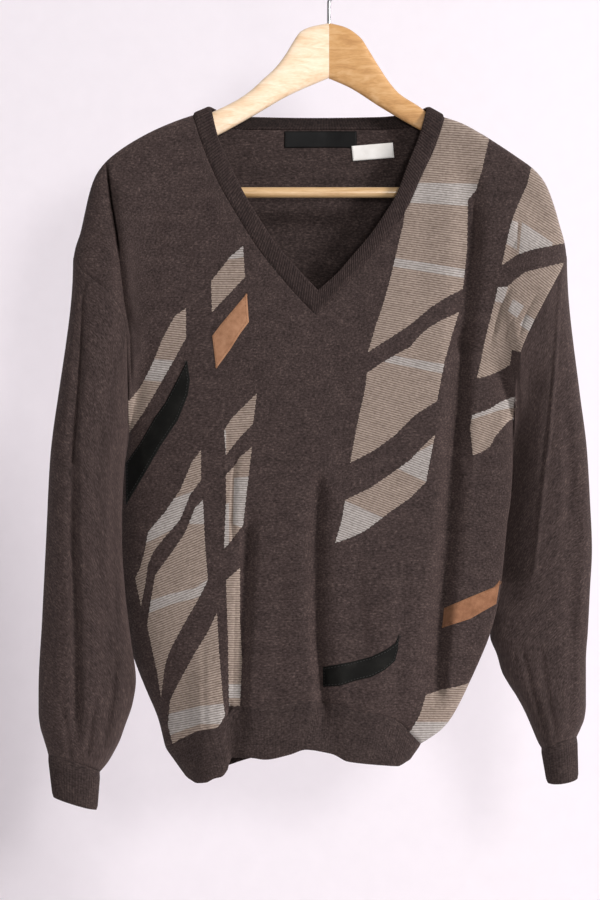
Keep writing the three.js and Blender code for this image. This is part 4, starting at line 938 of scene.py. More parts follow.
def suede(name, stops):
    """Tan suede: buffed split leather, matt, with a short nap that mottles it."""
    material, tree, surface = new_finish(name)
    where = add_node(tree, "ShaderNodeTexCoord", {}).node.outputs["Object"]
    mottle = add_node(
        tree, "ShaderNodeTexNoise",
        {"Vector": where, "Scale": per_metre(SUEDE_MOTTLE), "Detail": 4.0, "Roughness": 0.6},
    )
    nap = add_node(
        tree, "ShaderNodeTexNoise",
        {"Vector": where, "Scale": per_metre(SUEDE_NAP), "Detail": 2.0, "Roughness": 0.7},
    )
    tone = add_node(tree, "ShaderNodeMath", {0: nap, 1: 0.45, 2: -0.2}, operation="MULTIPLY_ADD")
    tone = add_node(tree, "ShaderNodeMath", {0: mottle, 1: 0.75, 2: tone}, operation="MULTIPLY_ADD")
    colour = add_node(tree, "ShaderNodeValToRGB", {"Fac": tone}, stops)
    bump = add_node(tree, "ShaderNodeBump", {"Height": nap, "Strength": 0.4, "Distance": 0.3 * MM})
    fill_in(tree, surface, {
        "Base Color": colour, "Roughness": 0.9, "Specular IOR Level": 0.2, "Sheen Weight": 0.3,
        "Sheen Tint": linear("#E0B48C"), "Normal": bump,
    })
    return material


def nappa(name):
    """Black nappa: dyed and lightly sealed grain leather, with a dull shine over a fine pebble."""
    material, tree, surface = new_finish(name)
    where = add_node(tree, "ShaderNodeTexCoord", {}).node.outputs["Object"]
    pebble = add_node(tree, "ShaderNodeTexVoronoi", {"Vector": where, "Scale": per_metre(NAPPA_PEBBLE)})
    wear = add_node(
        tree, "ShaderNodeTexNoise",
        {"Vector": where, "Scale": per_metre(NAPPA_WEAR), "Detail": 5.0, "Roughness": 0.65},
    )
    colour = add_node(
        tree, "ShaderNodeValToRGB", {"Fac": wear}, [(0.3, "#0D0D0C"), (0.55, "#141412"), (0.8, "#201F1D")],
    )
    dull = add_node(tree, "ShaderNodeMapRange", {"Value": wear, "To Min": 0.7, "To Max": 0.85})
    bump = add_node(tree, "ShaderNodeBump", {"Height": pebble, "Strength": 0.25, "Distance": 0.2 * MM})
    fill_in(tree, surface, {
        "Base Color": colour, "Roughness": dull, "Specular IOR Level": 0.12, "Normal": bump,
    })
    return material


def tape(name, dark, pale, spacing, sheen=0.15, gloss=0.5):
    """Woven tape: a fine cross weave, slightly shiny. Its threads are drawn about twice as far apart
    as they are, so that they show."""
    material, tree, surface = new_finish(name)
    where = add_node(tree, "ShaderNodeTexCoord", {}).node.outputs["Object"]
    weave = add_node(
        tree, "ShaderNodeTexWave",
        {"Vector": where, "Scale": WAVE_PERIOD * per_metre(spacing), "Distortion": 0.4},
        wave_type="BANDS", bands_direction="Z",
    ).node.outputs["Fac"]
    soil = add_node(
        tree, "ShaderNodeTexNoise", {"Vector": where, "Scale": per_metre(TAPE_SOIL), "Detail": 3.0}
    )
    tone = add_node(tree, "ShaderNodeMath", {0: weave, 1: 0.25, 2: soil}, operation="MULTIPLY_ADD")
    colour = add_node(tree, "ShaderNodeValToRGB", {"Fac": tone}, [(0.3, dark), (0.85, pale)])
    bump = add_node(tree, "ShaderNodeBump", {"Height": weave, "Strength": 0.2, "Distance": 0.1 * MM})
    fill_in(tree, surface, {
        "Base Color": colour, "Roughness": 0.6, "Sheen Weight": sheen, "Specular IOR Level": gloss,
        "Normal": bump,
    })
    return material


def beech(name, dark, middle, pale, lean=0.0):
    """Beech, planed and clear lacquered: fine straight grain, short flecks and a soft gloss.
    lean turns the grain to run down along an arm."""
    material, tree, surface = new_finish(name)
    where = add_node(tree, "ShaderNodeTexCoord", {}).node.outputs["Object"]
    turned = {"Vector": where, "Rotation": (0, lean, 0)}
    grain_place = add_node(
        tree, "ShaderNodeMapping", {**turned, "Scale": [per_metre(size) for size in BEECH_GRAIN]}
    )
    grain = add_node(
        tree, "ShaderNodeTexNoise",
        {"Vector": grain_place, "Scale": 1.0, "Detail": 5.0, "Roughness": 0.6, "Distortion": 0.8},
    )
    fleck_place = add_node(
        tree, "ShaderNodeMapping", {**turned, "Scale": [per_metre(size) for size in BEECH_FLECK]}
    )
    fleck = add_node(tree, "ShaderNodeTexNoise", {"Vector": fleck_place, "Scale": 1.0, "Detail": 2.0})
    tone = add_node(tree, "ShaderNodeMath", {0: fleck, 1: 0.3, 2: -0.15}, operation="MULTIPLY_ADD")
    tone = add_node(tree, "ShaderNodeMath", {0: grain, 1: tone}, operation="ADD")
    colour = add_node(
        tree, "ShaderNodeValToRGB", {"Fac": tone}, [(0.28, dark), (0.5, middle), (0.72, pale)]
    )
    bump = add_node(tree, "ShaderNodeBump", {"Height": tone, "Strength": 0.12, "Distance": 0.3 * MM})
    fill_in(tree, surface, {
        "Base Color": colour, "Roughness": 0.42, "IOR": 1.5, "Coat Weight": 0.5, "Coat Roughness": 0.2,
        "Normal": bump,
    })
    return material


def plated_steel(name):
    """Zinc-plated steel wire, drawn: bright, with a faint uneven dulling."""
    material, tree, surface = new_finish(name)
    where = add_node(tree, "ShaderNodeTexCoord", {}).node.outputs["Object"]
    haze = add_node(
        tree, "ShaderNodeTexNoise", {"Vector": where, "Scale": per_metre(STEEL_HAZE), "Detail": 4.0}
    )
    dull = add_node(tree, "ShaderNodeMapRange", {"Value": haze, "To Min": 0.18, "To Max": 0.4})
    colour = add_node(tree, "ShaderNodeValToRGB", {"Fac": haze}, [(0.3, "#A9AAAC"), (0.7, "#C9CACB")])
    fill_in(tree, surface, {"Base Color": colour, "Roughness": dull, "Metallic": 1.0})
    return material


def two_tone(name, size, detail, stops, roughness):
    """A matt finish that varies a little between two tones, over patches of a size."""
    material, tree, surface = new_finish(name)
    where = add_node(tree, "ShaderNodeTexCoord", {}).node.outputs["Object"]
    noise = add_node(
        tree, "ShaderNodeTexNoise", {"Vector": where, "Scale": per_metre(size), "Detail": detail}
    )
    colour = add_node(tree, "ShaderNodeValToRGB", {"Fac": noise}, stops)
    fill_in(tree, surface, {"Base Color": colour, "Roughness": roughness})
    return material


def thread(name, dark, pale):
    """Spun polyester sewing thread: its twist gives it fine light and dark places."""
    return two_tone(name, THREAD_TWIST, 1.0, [(0.3, dark), (0.7, pale)], 0.6)


def emulsion(name, dark, pale):
    """Matt wall paint, with the faint clouds that a roller leaves."""
    return two_tone(name, ROLLER_MARK, 3.0, [(0.2, dark), (0.8, pale)], 0.9)


JERSEY = wool("wool_jersey_charcoal", CHARCOAL)
JERSEY_BEIGE = wool("wool_jersey_striped_beige", STRIPE_DARK, STRIPE_BEIGE, "#D8CFC6")
JERSEY_GREY = wool("wool_jersey_striped_grey", STRIPE_DARK_GREY, STRIPE_GREY, "#E2DEDA")
# The neckband's rib carries painted shade in the grooves between its ribs.
RIB = wool("wool_rib_charcoal_painted_groove_shade", RIB_CHARCOAL, relief=0.3, ribbed=True)
# The hem and cuffs take the darker copy of the yarn, which is painted shade.
HEM_RIB_PAINTED_SHADE = wool("wool_rib_soft_charcoal_painted_shade", HEM_CHARCOAL_PAINTED_SHADE, relief=0.3)
SUEDE = suede("suede_tan", [(0.15, "#7E573D"), (0.45, "#A0765A"), (0.75, "#B58C6E")])
# A darker copy of the tan suede for the lower patch: painted shade, as that patch lies in shade.
SUEDE_PAINTED_SHADE = suede("suede_tan_painted_shade", [(0.15, "#65432D"), (0.45, "#885F46"), (0.75, "#A0775A")])
NAPPA = nappa("nappa_black")
SATIN = tape("woven_satin_black", "#080808", "#171717", 0.9896, sheen=0.0, gloss=0.1)
COTTON = tape("cotton_tape_white", "#D9D5CF", "#F6F4F1", 0.7917)
# The two arms are two woods of different tone. The pale left one is also lighter by a painted highlight,
# where its face turns to the light.
BEECH_LEFT = beech("beech_lacquered_pale_painted_highlight", "#DDB991", "#EACFAF", "#F3E0C8", lean=-0.5)
BEECH_RIGHT = beech("beech_lacquered_warm", "#B98853", "#CF9E65", "#DDB280", lean=0.5)
BEECH_BAR = beech("beech_lacquered_bar", "#B18A5A", "#CAA576", "#D8B88D")
STEEL = plated_steel("zinc_plated_steel")
TAN_THREAD = thread("thread_tan", "#7A5539", "#94694A")
BLACK_THREAD = thread("thread_black", "#101010", "#222220")
WHITE_THREAD = thread("thread_white", "#D8D4CE", "#F0EEEA")
WALL_PAINT = emulsion("wall_paint", "#F2ECF2", "#F5EFF5")
FLOOR_PAINT = emulsion("floor_paint", "#E4E0E0", "#EAE6E6")


# Front, with its striped panels as faces of their own
def sampled_outline(outline, step, ragged=0.0):
    """An outline as places every step, each second one moved in or out as knitted courses step."""
    points = np.array([*outline, outline[0]], float)
    places = []
    for start, end in zip(points[:-1], points[1:]):
        size = np.linalg.norm(end - start)
        count = max(1, round(size / step))
        square = np.array([start[1] - end[1], end[0] - start[0]]) / size
        for k in range(count):
            side = ragged * (1 if (len(places) % 2) else -1) * (k > 0)
            places.append(mix(start, end, k / count) + square * side)
    return np.array(places)


def pleat_depth(across, down):
    """How far the sharp pleats push the cloth in at places."""
    pushed = np.zeros(np.shape(across))
    for line, wide_left, wide_right, deep in FRONT_PLEATS:
        distance, gone, length, at = nearest(line, across, down)
        wide = np.where(across < at, wide_left, wide_right)
        share = np.clip(1 - distance / wide, 0, 1)
        ends = ease(0, PLEAT_FADE, gone) * ease(0, PLEAT_FADE, length - gone)
        pushed += deep * share ** 1.5 * ends
    return pushed


def pleat_places():
    """Rows of places along each sharp pleat, so that the mesh follows it."""
    found = []
    for line, wide_left, wide_right, _ in FRONT_PLEATS:
        count = int(lengths(np.array(line, float))[-1] / PLEAT_STEP)
        spine = along(line, np.linspace(0, 1, count))
        for share in PLEAT_RINGS:
            wide = wide_left if share < 0 else wide_right
            found.append(spine + [share * wide, 0])
    return np.concatenate(found)


def pushed_back(points, deep):
    """Moves points away along the line of sight, so that they are seen at the same place."""
    eye = np.array([EYE_X, -EYE_DISTANCE, EYE_Z]) * MM
    return points + (points - eye) * (deep / EYE_DISTANCE)[:, None]


def striped_chart(places, slopes, outline):
    """Where places of a striped panel lie along and across its courses, in metres."""
    outline = np.array(outline, float)
    low, high = outline[:, 1].min(), outline[:, 1].max()
    x, y = (places - outline.mean(0)).T
    slope = mix(*slopes, np.clip((places[:, 1] - low) / (high - low), 0, 1))
    lean = np.hypot(1, slope)
    return np.stack([(x + slope * y) / lean, (slope * x - y) / lean], -1) * MM


def wound(ring, points):
    """A ring of indices in the order that the triangulation takes as facing up."""
    x, y = np.asarray(points, float)[list(ring)].T
    area = (x * np.roll(y, -1) - np.roll(x, -1) * y).sum()
    return list(ring) if area > 0 else list(ring)[::-1]


def front_mesh():
    across, down = FRONT["across"], FRONT["down"]
    rows, columns = across.shape
    flat = np.stack([across.ravel(), down.ravel()], 1)
    ids = np.arange(rows * columns).reshape(rows, columns)
    border = np.concatenate([ids[0], ids[1:, -1], ids[-1, -2::-1], ids[-2:0:-1, 0]])
    keep = np.ones(len(flat), bool)
    for outline in [*(striped[2] for striped in STRIPED.values()), *GREY_BANDS]:
        distance, _, _, _ = nearest([*outline, outline[0]], across, down)
        keep &= distance.ravel() > OUTLINE_CLEAR
    for line, wide_left, wide_right, _ in FRONT_PLEATS:
        distance, _, _, at = nearest(line, across, down)
        keep &= (distance > np.where(across < at, wide_left, wide_right) + 0.5).ravel()
    keep[border] = True
    renamed = np.cumsum(keep) - 1
    points = [flat[keep]]
    faces = [wound(renamed[border].tolist(), flat[keep])]
    count = int(keep.sum())
    for outline, ragged in [
        *((striped[2], OUTLINE_RAGGED) for striped in STRIPED.values()),
        *((outline, 0.0) for outline in GREY_BANDS),
    ]:
        ring = sampled_outline(outline, OUTLINE_STEP, ragged)
        points.append(ring)
        faces.append([count + k for k in wound(range(len(ring)), ring)])
        count += len(ring)
    points.append(pleat_places())
    cut = delaunay_2d_cdt([Vector(p) for p in np.concatenate(points)], [], faces, 1, 1e-5, True)
    verts2d, _, triangles, vert_from, _, face_from = cut
    source = np.flatnonzero(keep)
    from_grid = np.array([min(k) if k and min(k) < len(source) else -1 for k in vert_from])
    places = np.array([tuple(p) for p in verts2d])
    i, j = np.zeros(len(places)), np.zeros(len(places))
    known = from_grid >= 0
    i[known], j[known] = np.divmod(source[from_grid[known]], columns)
    inside = [k for k, owners in enumerate(face_from) if 0 in owners]
    used = np.zeros(len(places), bool)
    for k in inside:
        used[list(triangles[k])] = True
    missing = used & ~known
    i[missing], j[missing] = find_on(FRONT, places[missing])
    slots = []
    for k in inside:
        striped = any(1 <= owner <= len(STRIPED) for owner in face_from[k])
        grey = any(owner > len(STRIPED) for owner in face_from[k])
        slots.append((2 if grey else 1) if striped else 0)
    new_ids = np.cumsum(used) - 1
    kept = np.array([triangles[k] for k in inside])
    verts = grid_at(FRONT["points"], i, j)[used]
    verts = pushed_back(verts, pleat_depth(places[used, 0], places[used, 1]))
    normals = grid_at(FRONT["normals"], i, j)[used]
    faces = np.array(facing_out(verts, new_ids[kept], normals))
    obj = make_object("knit_front", verts, faces.tolist(), [JERSEY, JERSEY_BEIGE, JERSEY_GREY])
    obj.data.polygons.foreach_set("material_index", np.array(slots, np.int32))
    cloth = grid_at(FRONT["cloth"], i, j)[used][faces]
    owners = np.array([max((o for o in face_from[k] if o <= len(STRIPED)), default=0) for k in inside])
    for k, (top, bottom, outline) in enumerate(STRIPED.values(), 1):
        corners = places[used][faces[owners == k]].reshape(-1, 2)
        cloth[owners == k] = striped_chart(corners, (top, bottom), outline).reshape(-1, 3, 2)
    obj.data.uv_layers.new(name="cloth").uv.foreach_set("vector", cloth.astype(np.float32).ravel())
    return thicken(obj, KNIT_WALL)


knit_front = front_mesh()
knit_back = cloth_grid("knit_back", BACK["points"], BACK["normals"], BACK["cloth"], JERSEY, KNIT_WALL)


# Sleeves
def sleeve_start(side, angle):
    """Where a sleeve's first ring lies on the armhole: down the front and up the back."""
    steps = len(ARMHOLE_HEIGHTS) - 1
    index = np.where(angle <= math.pi, steps * (1 - angle / math.pi), steps * (angle / math.pi - 1))
    v = np.interp(index, np.arange(steps + 1), ARMHOLE_HEIGHTS)
    found = []
    for panel in (FRONT, BACK):
        end = 0 if side < 0 else -1
        u = np.full(len(v), panel["columns"][end])
        top = np.tile(panel["tops"][end], (len(v), 1))
        found.append(np.stack(panel_places(panel, u, top, v), -1))
    return np.where((angle <= math.pi)[:, None], found[0], found[1])


def make_sleeve(sleeve):
    angle = np.linspace(0, 2 * math.pi, SLEEVE_ROUND, endpoint=False)
    start = sleeve_start(sleeve["side"], angle)
    t = np.linspace(0, 1, SLEEVE_ROWS)[:, None]
    round_share = (1 - np.cos(angle)) / 2
    down = mix(start[:, 1], mix(*sleeve["seam"], round_share), t)
    oval = mix(through(sleeve["outer"], down), through(sleeve["inner"], down), round_share)
    settled = 1 - (1 - np.minimum(t / SLEEVE_SETTLES, 1)) ** 2
    across = mix(start[:, 0], oval, settled)
    swing = through(sleeve["depth"], down) - through(sleeve["round"], down) * np.sin(angle)
    seen = np.sin(angle) > 0
    pushed = folds_at(sleeve["folds"], across, down, FOLD_FADE)
    small = folds_at(sleeve["creases"], across, down, CREASE_FADE)
    edge = np.abs(np.sin(angle)) ** 0.5
    hidden = 1.5 * np.sin(down / 34 + angle * 2) * np.abs(np.sin(angle))
    ends = ease(0, 0.06, t) * ease(0, 0.05, 1 - t)
    small = np.where(seen, small, hidden) * edge + drift(across + 40 * np.sin(angle), down) * ends
    depth = mix(start[:, 2], swing, settled) + (np.where(seen, pushed, 0) + small) * settled
    points = place(across, down, depth)
    normals = grid_normals(points, closed=True)
    centre = points.mean(1, keepdims=True)
    if ((points - centre) * normals).sum() < 0:
        normals = -normals
    drop = np.linalg.norm(np.diff(points, axis=0), axis=2)
    from_top = np.concatenate([np.zeros((1, SLEEVE_ROUND)), np.cumsum(drop, 0)], 0)
    tuck = rolled(from_top) * SIDE_TUCK + rolled(from_top[-1:] - from_top) * HEM_TUCK
    ring = np.concatenate([points, points[:, :1]], 1)
    around = np.linalg.norm(np.diff(ring, axis=1), axis=2)
    cloth_across = np.concatenate([np.zeros((SLEEVE_ROWS, 1)), np.cumsum(around, 1)], 1)
    cloth_across = cloth_across - cloth_across[:, -1:] / 2
    cloth_down = np.concatenate([from_top, from_top[:, :1]], 1)
    sleeve.update(
        seam_ring=points[-1].copy(), seam_normals=normals[-1].copy(),
        points=points - normals * tuck[..., None], normals=normals,
        cloth=np.stack([cloth_across, -cloth_down], -1),
    )


for one in (SLEEVE_LEFT, SLEEVE_RIGHT):
    make_sleeve(one)
sleeve_left = cloth_grid(
    "knit_sleeve_left", SLEEVE_LEFT["points"], SLEEVE_LEFT["normals"], SLEEVE_LEFT["cloth"],
    JERSEY, KNIT_WALL, closed=True,
)
sleeve_right = cloth_grid(
    "knit_sleeve_right", SLEEVE_RIGHT["points"], SLEEVE_RIGHT["normals"], SLEEVE_RIGHT["cloth"],
    JERSEY, KNIT_WALL, closed=True,
)

# Ribbed bands
RIB_SAMPLES, BAND_ROWS, HEM_ROWS, CUFF_ROWS = 6, 14, 24, 20
HEM_RAISED, CUFF_RAISED, NECK_RAISED, NECK_PROUD, EDGE_ROLL = 0.22, 0.5, 0.85, 0.9, 0.8
EDGE_STEPS, EDGE_STEPS_BACK, POINT_DENSER = 90, 120, 1.4

# Shares of a band, from its seam to its free edge
RIB_START, RISE_FROM, RISE_TO, ROLL_FROM, TURNED_BY = 0.16, 0.02, 0.2, 0.88, 0.4


def at_shares(points, shares, normals=None):
    length = lengths(points)
    where = np.asarray(shares) * length[-1]
    out = np.stack([np.interp(where, length, points[:, k]) for k in range(3)], -1)
    if normals is None:
        return out
    turned = np.stack([np.interp(where, length, normals[:, k]) for k in range(3)], -1)
    return out, turned / np.linalg.norm(turned, axis=1, keepdims=True)


def ribbed_band(name, stretches, material, wall, raised, closed, rows=BAND_ROWS, proud=0.0, tuck=1.0):
    """A band knitted on to a seam, its ribs running from the seam to its free edge. Proud is how far
    it stands up from the seam, tuck how much of the usual tuck its seam has."""
    seam, edge, normals = [], [], []
    for k, (seam_points, seam_normals, edge_points) in enumerate(stretches):
        ribs = max(1, round(lengths(seam_points)[-1] / MM / RIB_PITCH))
        open_end = closed or k + 1 < len(stretches)
        shares = np.arange(ribs * RIB_SAMPLES + (not open_end)) / (ribs * RIB_SAMPLES)
        points, turned = at_shares(seam_points, shares, seam_normals)
        seam.append(points)
        normals.append(turned)
        edge.append(at_shares(edge_points, shares))
    seam, edge, seam_normals = (np.concatenate(a) for a in (seam, edge, normals))
    t = np.linspace(0, 1, rows)[:, None, None]
    points = mix(seam, edge, t)
    own = grid_normals(points, closed)
    own *= np.sign((own[1] * seam_normals).sum(-1))[None, :, None]
    own = mix(seam_normals, own, ease(0, TURNED_BY, t))
    own /= np.linalg.norm(own, axis=-1, keepdims=True)
    phase = np.arange(len(seam)) * 2 * math.pi / RIB_SAMPLES
    share = t[..., 0]
    height = raised * MM * (0.5 - 0.5 * np.cos(phase)) * ease(0, RIB_START, share)
    width = np.linalg.norm(edge - seam, axis=1)
    height = height + proud * MM * ease(RISE_FROM, RISE_TO, share) - rolled(share * width) * tuck
    height = height - (EDGE_ROLL + proud) * MM * ease(ROLL_FROM, 1, share)
    grid = points + own * height[..., None]
    if closed:
        width = np.append(width, width[0])
    turns = np.arange(len(width)) * RIB_PITCH * MM / RIB_SAMPLES
    uv = np.stack(np.broadcast_arrays(turns[None, :], -share * width[None, :]), -1)
    return cloth_grid(name, grid, own, uv, material, wall, closed)


HEM_ENDS = 0.07  # share of the hem over which its folds fade towards the side seams


def hem_edge(panel, outline):
    u = panel["columns"]
    share = hem_share(u)
    across = mix(HEM_EDGE_LEFT, HEM_EDGE_RIGHT, share)
    left = through(panel["depth_left"], HEM_LEFT[1])
    right = through(panel["depth_right"], HEM_RIGHT[1])
    side = mix(left, right, share)
    down = through(outline, across)
    form = np.sqrt(np.maximum(0, 1 - (2 * share - 1) ** 2))
    depth = side + (through(panel["middle"], down) - side) * form
    ends = ease(0, HEM_ENDS, share) * ease(0, HEM_ENDS, 1 - share)
    depth = depth - panel["facing"] * folds_at(panel["folds"], across, down, FOLD_FADE) * ends
    return place(across, down, depth)


def hem(name, panel, outline):
    stretch = (panel["seam"][0], panel["normals"][0], hem_edge(panel, outline))
    return ribbed_band(name, [stretch], HEM_RIB_PAINTED_SHADE, KNIT_WALL, HEM_RAISED, False, rows=HEM_ROWS, tuck=HEM_TUCK)


def cuff(name, shape, sleeve):
    angle = np.linspace(0, 2 * math.pi, SLEEVE_ROUND + 1)
    share = (1 - np.cos(angle)) / 2
    across = mix(shape["outer"][0], shape["inner"][0], share)
    down = mix(shape["outer"][1], shape["inner"][1], share) + shape["sag"] * np.abs(np.sin(angle))
    edge = place(across, down, shape["depth"] - shape["round"] * np.sin(angle))
    ring, turned = (np.concatenate([a, a[:1]]) for a in (sleeve["seam_ring"], sleeve["seam_normals"]))
    return ribbed_band(
        name, [(ring, turned, edge)], HEM_RIB_PAINTED_SHADE, KNIT_WALL, CUFF_RAISED, True, rows=CUFF_ROWS, tuck=HEM_TUCK
    )


def band_edge(panel, outline, shares):
    places = along(outline, shares)
    across, down = places[:, 0], places[:, 1]
    return place(across, down, panel_depth(panel, across, down, shoulder_share(across), NECK_HEIGHT))


def neckband(name):
    def part(panel, start, end, turned=False):
        step = -1 if turned else 1
        seam = panel["seam"][-1, start:end + 1][::step]
        return seam, panel["normals"][-1, start:end + 1][::step]

    first = (len(SHOULDER_STEPS) - 1) * COLUMNS_BETWEEN
    last_front, last_back = len(FRONT["columns"]) - 1, len(BACK["columns"]) - 1
    point = last_front // 2
    dense = np.linspace(0, 1, EDGE_STEPS) ** POINT_DENSER
    stretches = [
        (*part(FRONT, first, point), band_edge(FRONT, BAND_EDGE_LEFT, dense)),
        (*part(FRONT, point, last_front - first), band_edge(FRONT, BAND_EDGE_RIGHT, 1 - dense[::-1])),
        (
            *part(BACK, first, last_back - first, turned=True),
            band_edge(BACK, BAND_EDGE_BACK[::-1], np.linspace(0, 1, EDGE_STEPS_BACK)),
        ),
    ]
    return ribbed_band(name, stretches, RIB, BAND_WALL, NECK_RAISED, True, proud=NECK_PROUD)


hem_front = hem("rib_hem_front", FRONT, HEM_EDGE_FRONT)
hem_back = hem("rib_hem_back", BACK, HEM_EDGE_BACK)
cuff_left = cuff("rib_cuff_left", CUFF_LEFT, SLEEVE_LEFT)
cuff_right = cuff("rib_cuff_right", CUFF_RIGHT, SLEEVE_RIGHT)
neck = neckband("rib_neckband")


# Patches, sewn down round their edges
PATCH_RISE, PATCH_ROUND, STITCH_INSET, STITCH_LENGTH, STITCH_GAP, THREAD = 1.15, 1.4, 2.0, 2.1, 1.1, 0.28
PATCH_RING_STEP, PATCH_GRID, PATCH_EDGES, PATCH_WALL = 1.6, 1.7, (0.35, 0.8), 0.9
STITCH_DIP, STITCH_DIP_REACH, STITCH_SINK, STITCH_LINE_STEP, PATCH_FOOT = 0.28, 0.7, 0.22, 0.5, -0.15

# Shape of a stitch, in radii of its thread; the last is the square of its width at the tips
STRAND_RISE, STRAND_BEND, STRAND_TIP = 1.1, 3.2, 0.12


def patch_mesh(name, outline, material):
    ring = sampled_outline(outline, PATCH_RING_STEP)
    low, high = ring.min(0), ring.max(0)
    xs, ys = np.meshgrid(np.arange(low[0], high[0], PATCH_GRID), np.arange(low[1], high[1], PATCH_GRID))
    inner = np.stack([xs.ravel(), ys.ravel()], 1)
    closed = [*map(tuple, ring), tuple(ring[0])]
    distance, _, _, _ = nearest(closed, inner[:, 0], inner[:, 1])
    inner = inner[distance > PATCH_EDGES[-1]]
    edge_lines = [inset_ring(ring, inset) for inset in PATCH_EDGES]
    points = np.concatenate([ring, *edge_lines, inner])
    faces = [wound(range(len(ring)), ring)]
    cut = delaunay_2d_cdt([Vector(p) for p in points], [], faces, 1, 1e-5, True)
    kept = np.array([f for f, owners in zip(cut[2], cut[5]) if owners])
    used = np.unique(kept)
    kept = np.searchsorted(used, kept)
    places = np.array([tuple(p) for p in cut[0]])[used]
    distance, _, _, _ = nearest(closed, places[:, 0], places[:, 1])
    rise = 1 - (1 - np.minimum(distance / PATCH_ROUND, 1)) ** 2
    height = mix(PATCH_FOOT, PATCH_RISE, np.sqrt(np.maximum(rise, 0)))
    dip = STITCH_DIP * np.exp(-((distance - STITCH_INSET) / STITCH_DIP_REACH) ** 2)
    i, j = find_on(FRONT, places)
    normals = grid_at(FRONT["normals"], i, j)
    verts = grid_at(FRONT["points"], i, j) + normals * ((height - dip) * MM)[:, None]
    triangles = facing_out(verts, kept, normals)
    return thicken(make_object(name, verts, triangles, material), PATCH_WALL)


def inset_ring(ring, inset):
    """An outline drawn in by a distance, square to itself."""
    ahead = np.roll(ring, -1, 0) - np.roll(ring, 1, 0)
    square = np.stack([-ahead[:, 1], ahead[:, 0]], 1)
    square /= np.maximum(np.linalg.norm(square, axis=1, keepdims=True), 1e-9)
    area = (ring[:, 0] * np.roll(ring[:, 1], -1) - np.roll(ring[:, 0], -1) * ring[:, 1]).sum()
    return ring + square * inset * (1 if area > 0 else -1)


def capsule_chain(name, starts, ends, normals, radius, material):
    """Short stitches of thread, each an arched six-sided strand."""
    sides, steps = 6, 5
    t = np.linspace(0, 1, steps)
    verts, faces = [], []
    for a, b, n in zip(starts, ends, normals):
        ahead = (b - a) / np.linalg.norm(b - a)
        side = np.cross(n, ahead)
        arch = radius * (STRAND_RISE - STRAND_BEND * (t - 0.5) ** 2 * 2)
        wide = radius * np.sqrt(np.maximum(STRAND_TIP, 1 - (2 * t - 1) ** 4))
        first = len(verts)
        for k in range(steps):
            centre = mix(a, b, t[k]) + n * arch[k]
            for s in range(sides):
                turn = 2 * math.pi * s / sides
                verts.append(centre + wide[k] * (math.cos(turn) * side + math.sin(turn) * n))
        for k in range(steps - 1):
            for s in range(sides):
                q, r = first + k * sides, (s + 1) % sides
                faces.append((q + s, q + r, q + sides + r, q + sides + s))
        faces.append(tuple(range(first + sides - 1, first - 1, -1)))
        end = first + (steps - 1) * sides
        faces.append(tuple(range(end, end + sides)))
    return make_object(name, np.array(verts), faces, material)


def patch_stitches(name, outline, material):
    dense = sampled_outline(outline, STITCH_LINE_STEP)
    line = inset_ring(dense, STITCH_INSET)
    line = np.concatenate([line, line[:1]])
    length = lengths(line)
    count = int(length[-1] // (STITCH_LENGTH + STITCH_GAP))
    begin = np.arange(count) * (STITCH_LENGTH + STITCH_GAP)
    sets = []
    for where in (begin, begin + STITCH_LENGTH):
        places = np.stack([np.interp(where, length, line[:, k]) for k in (0, 1)], -1)
        i, j = find_on(FRONT, places)
        normals = grid_at(FRONT["normals"], i, j)
        lift = (PATCH_RISE - STITCH_SINK) * MM
        sets.append((grid_at(FRONT["points"], i, j) + normals * lift, normals))
    (starts, normals), (ends, _) = sets
    return capsule_chain(name, starts, ends, normals, THREAD * MM, material)


# The lower suede patch takes the copy of the suede with painted shade.
PATCH_HIDES = {
    "suede_patch_upper": SUEDE, "suede_patch_lower": SUEDE_PAINTED_SHADE,
    "leather_patch_left": NAPPA, "leather_patch_right": NAPPA,
}
patch_pieces = {}
stitch_pieces = []
for patch_name, patch_outline in PATCHES.items():
    is_suede = patch_name.startswith("suede")
    hide = PATCH_HIDES[patch_name]
    piece = patch_mesh("sewn_" + patch_name, patch_outline, hide)
    patch_pieces[patch_name] = piece
    sewn = patch_stitches(
        "stitches_" + patch_name, patch_outline, TAN_THREAD if is_suede else BLACK_THREAD
    )
    stitch_pieces.append((sewn, "suede_tan" if is_suede else "leather_black"))


# Labels inside the back of the neck, left blank
LABEL_RISE, LABEL_ROUND, LABEL_WALL, LABEL_STITCH_RISE, LABEL_THREAD = 0.35, 0.8, 0.3, 0.36, 0.2
LABEL_SEAM, LABEL_STITCH = 1.4, 0.15  # millimetres from the end, and a share of half the height
LABEL_STITCHES = np.arange(-0.86, 0.8, 0.24)


def label_places(label, x, y):
    """Across and down of places given in millimetres from a label's middle."""
    cos, sin = math.cos(label["tilt"]), math.sin(label["tilt"])
    return np.stack([label["across"] + x * cos + y * sin, label["down"] - x * sin + y * cos], -1)


def label_mesh(name, label, material):
    """A small woven label with softly turned ends, lying on the inside of the back."""
    across_steps, down_steps = 46, 14
    s, t = np.meshgrid(np.linspace(-1, 1, across_steps), np.linspace(-1, 1, down_steps))
    x, y = s * label["width"] / 2, t * label["height"] / 2
    i, j = find_on(BACK, label_places(label, x, y).reshape(-1, 2))
    normals = grid_at(BACK["normals"], i, j)
    edge = np.minimum((1 - np.abs(s)) * label["width"] / 2, (1 - np.abs(t)) * label["height"] / 2)
    lift = label["under"] + LABEL_RISE * (1 - np.exp(-edge / LABEL_ROUND)).ravel()
    verts = grid_at(BACK["seam"], i, j) - normals * (lift * MM)[:, None]
    faces = facing_out(verts, grid_faces(down_steps, across_steps), -normals)
    return thicken(make_object(name, verts, faces, material), LABEL_WALL)


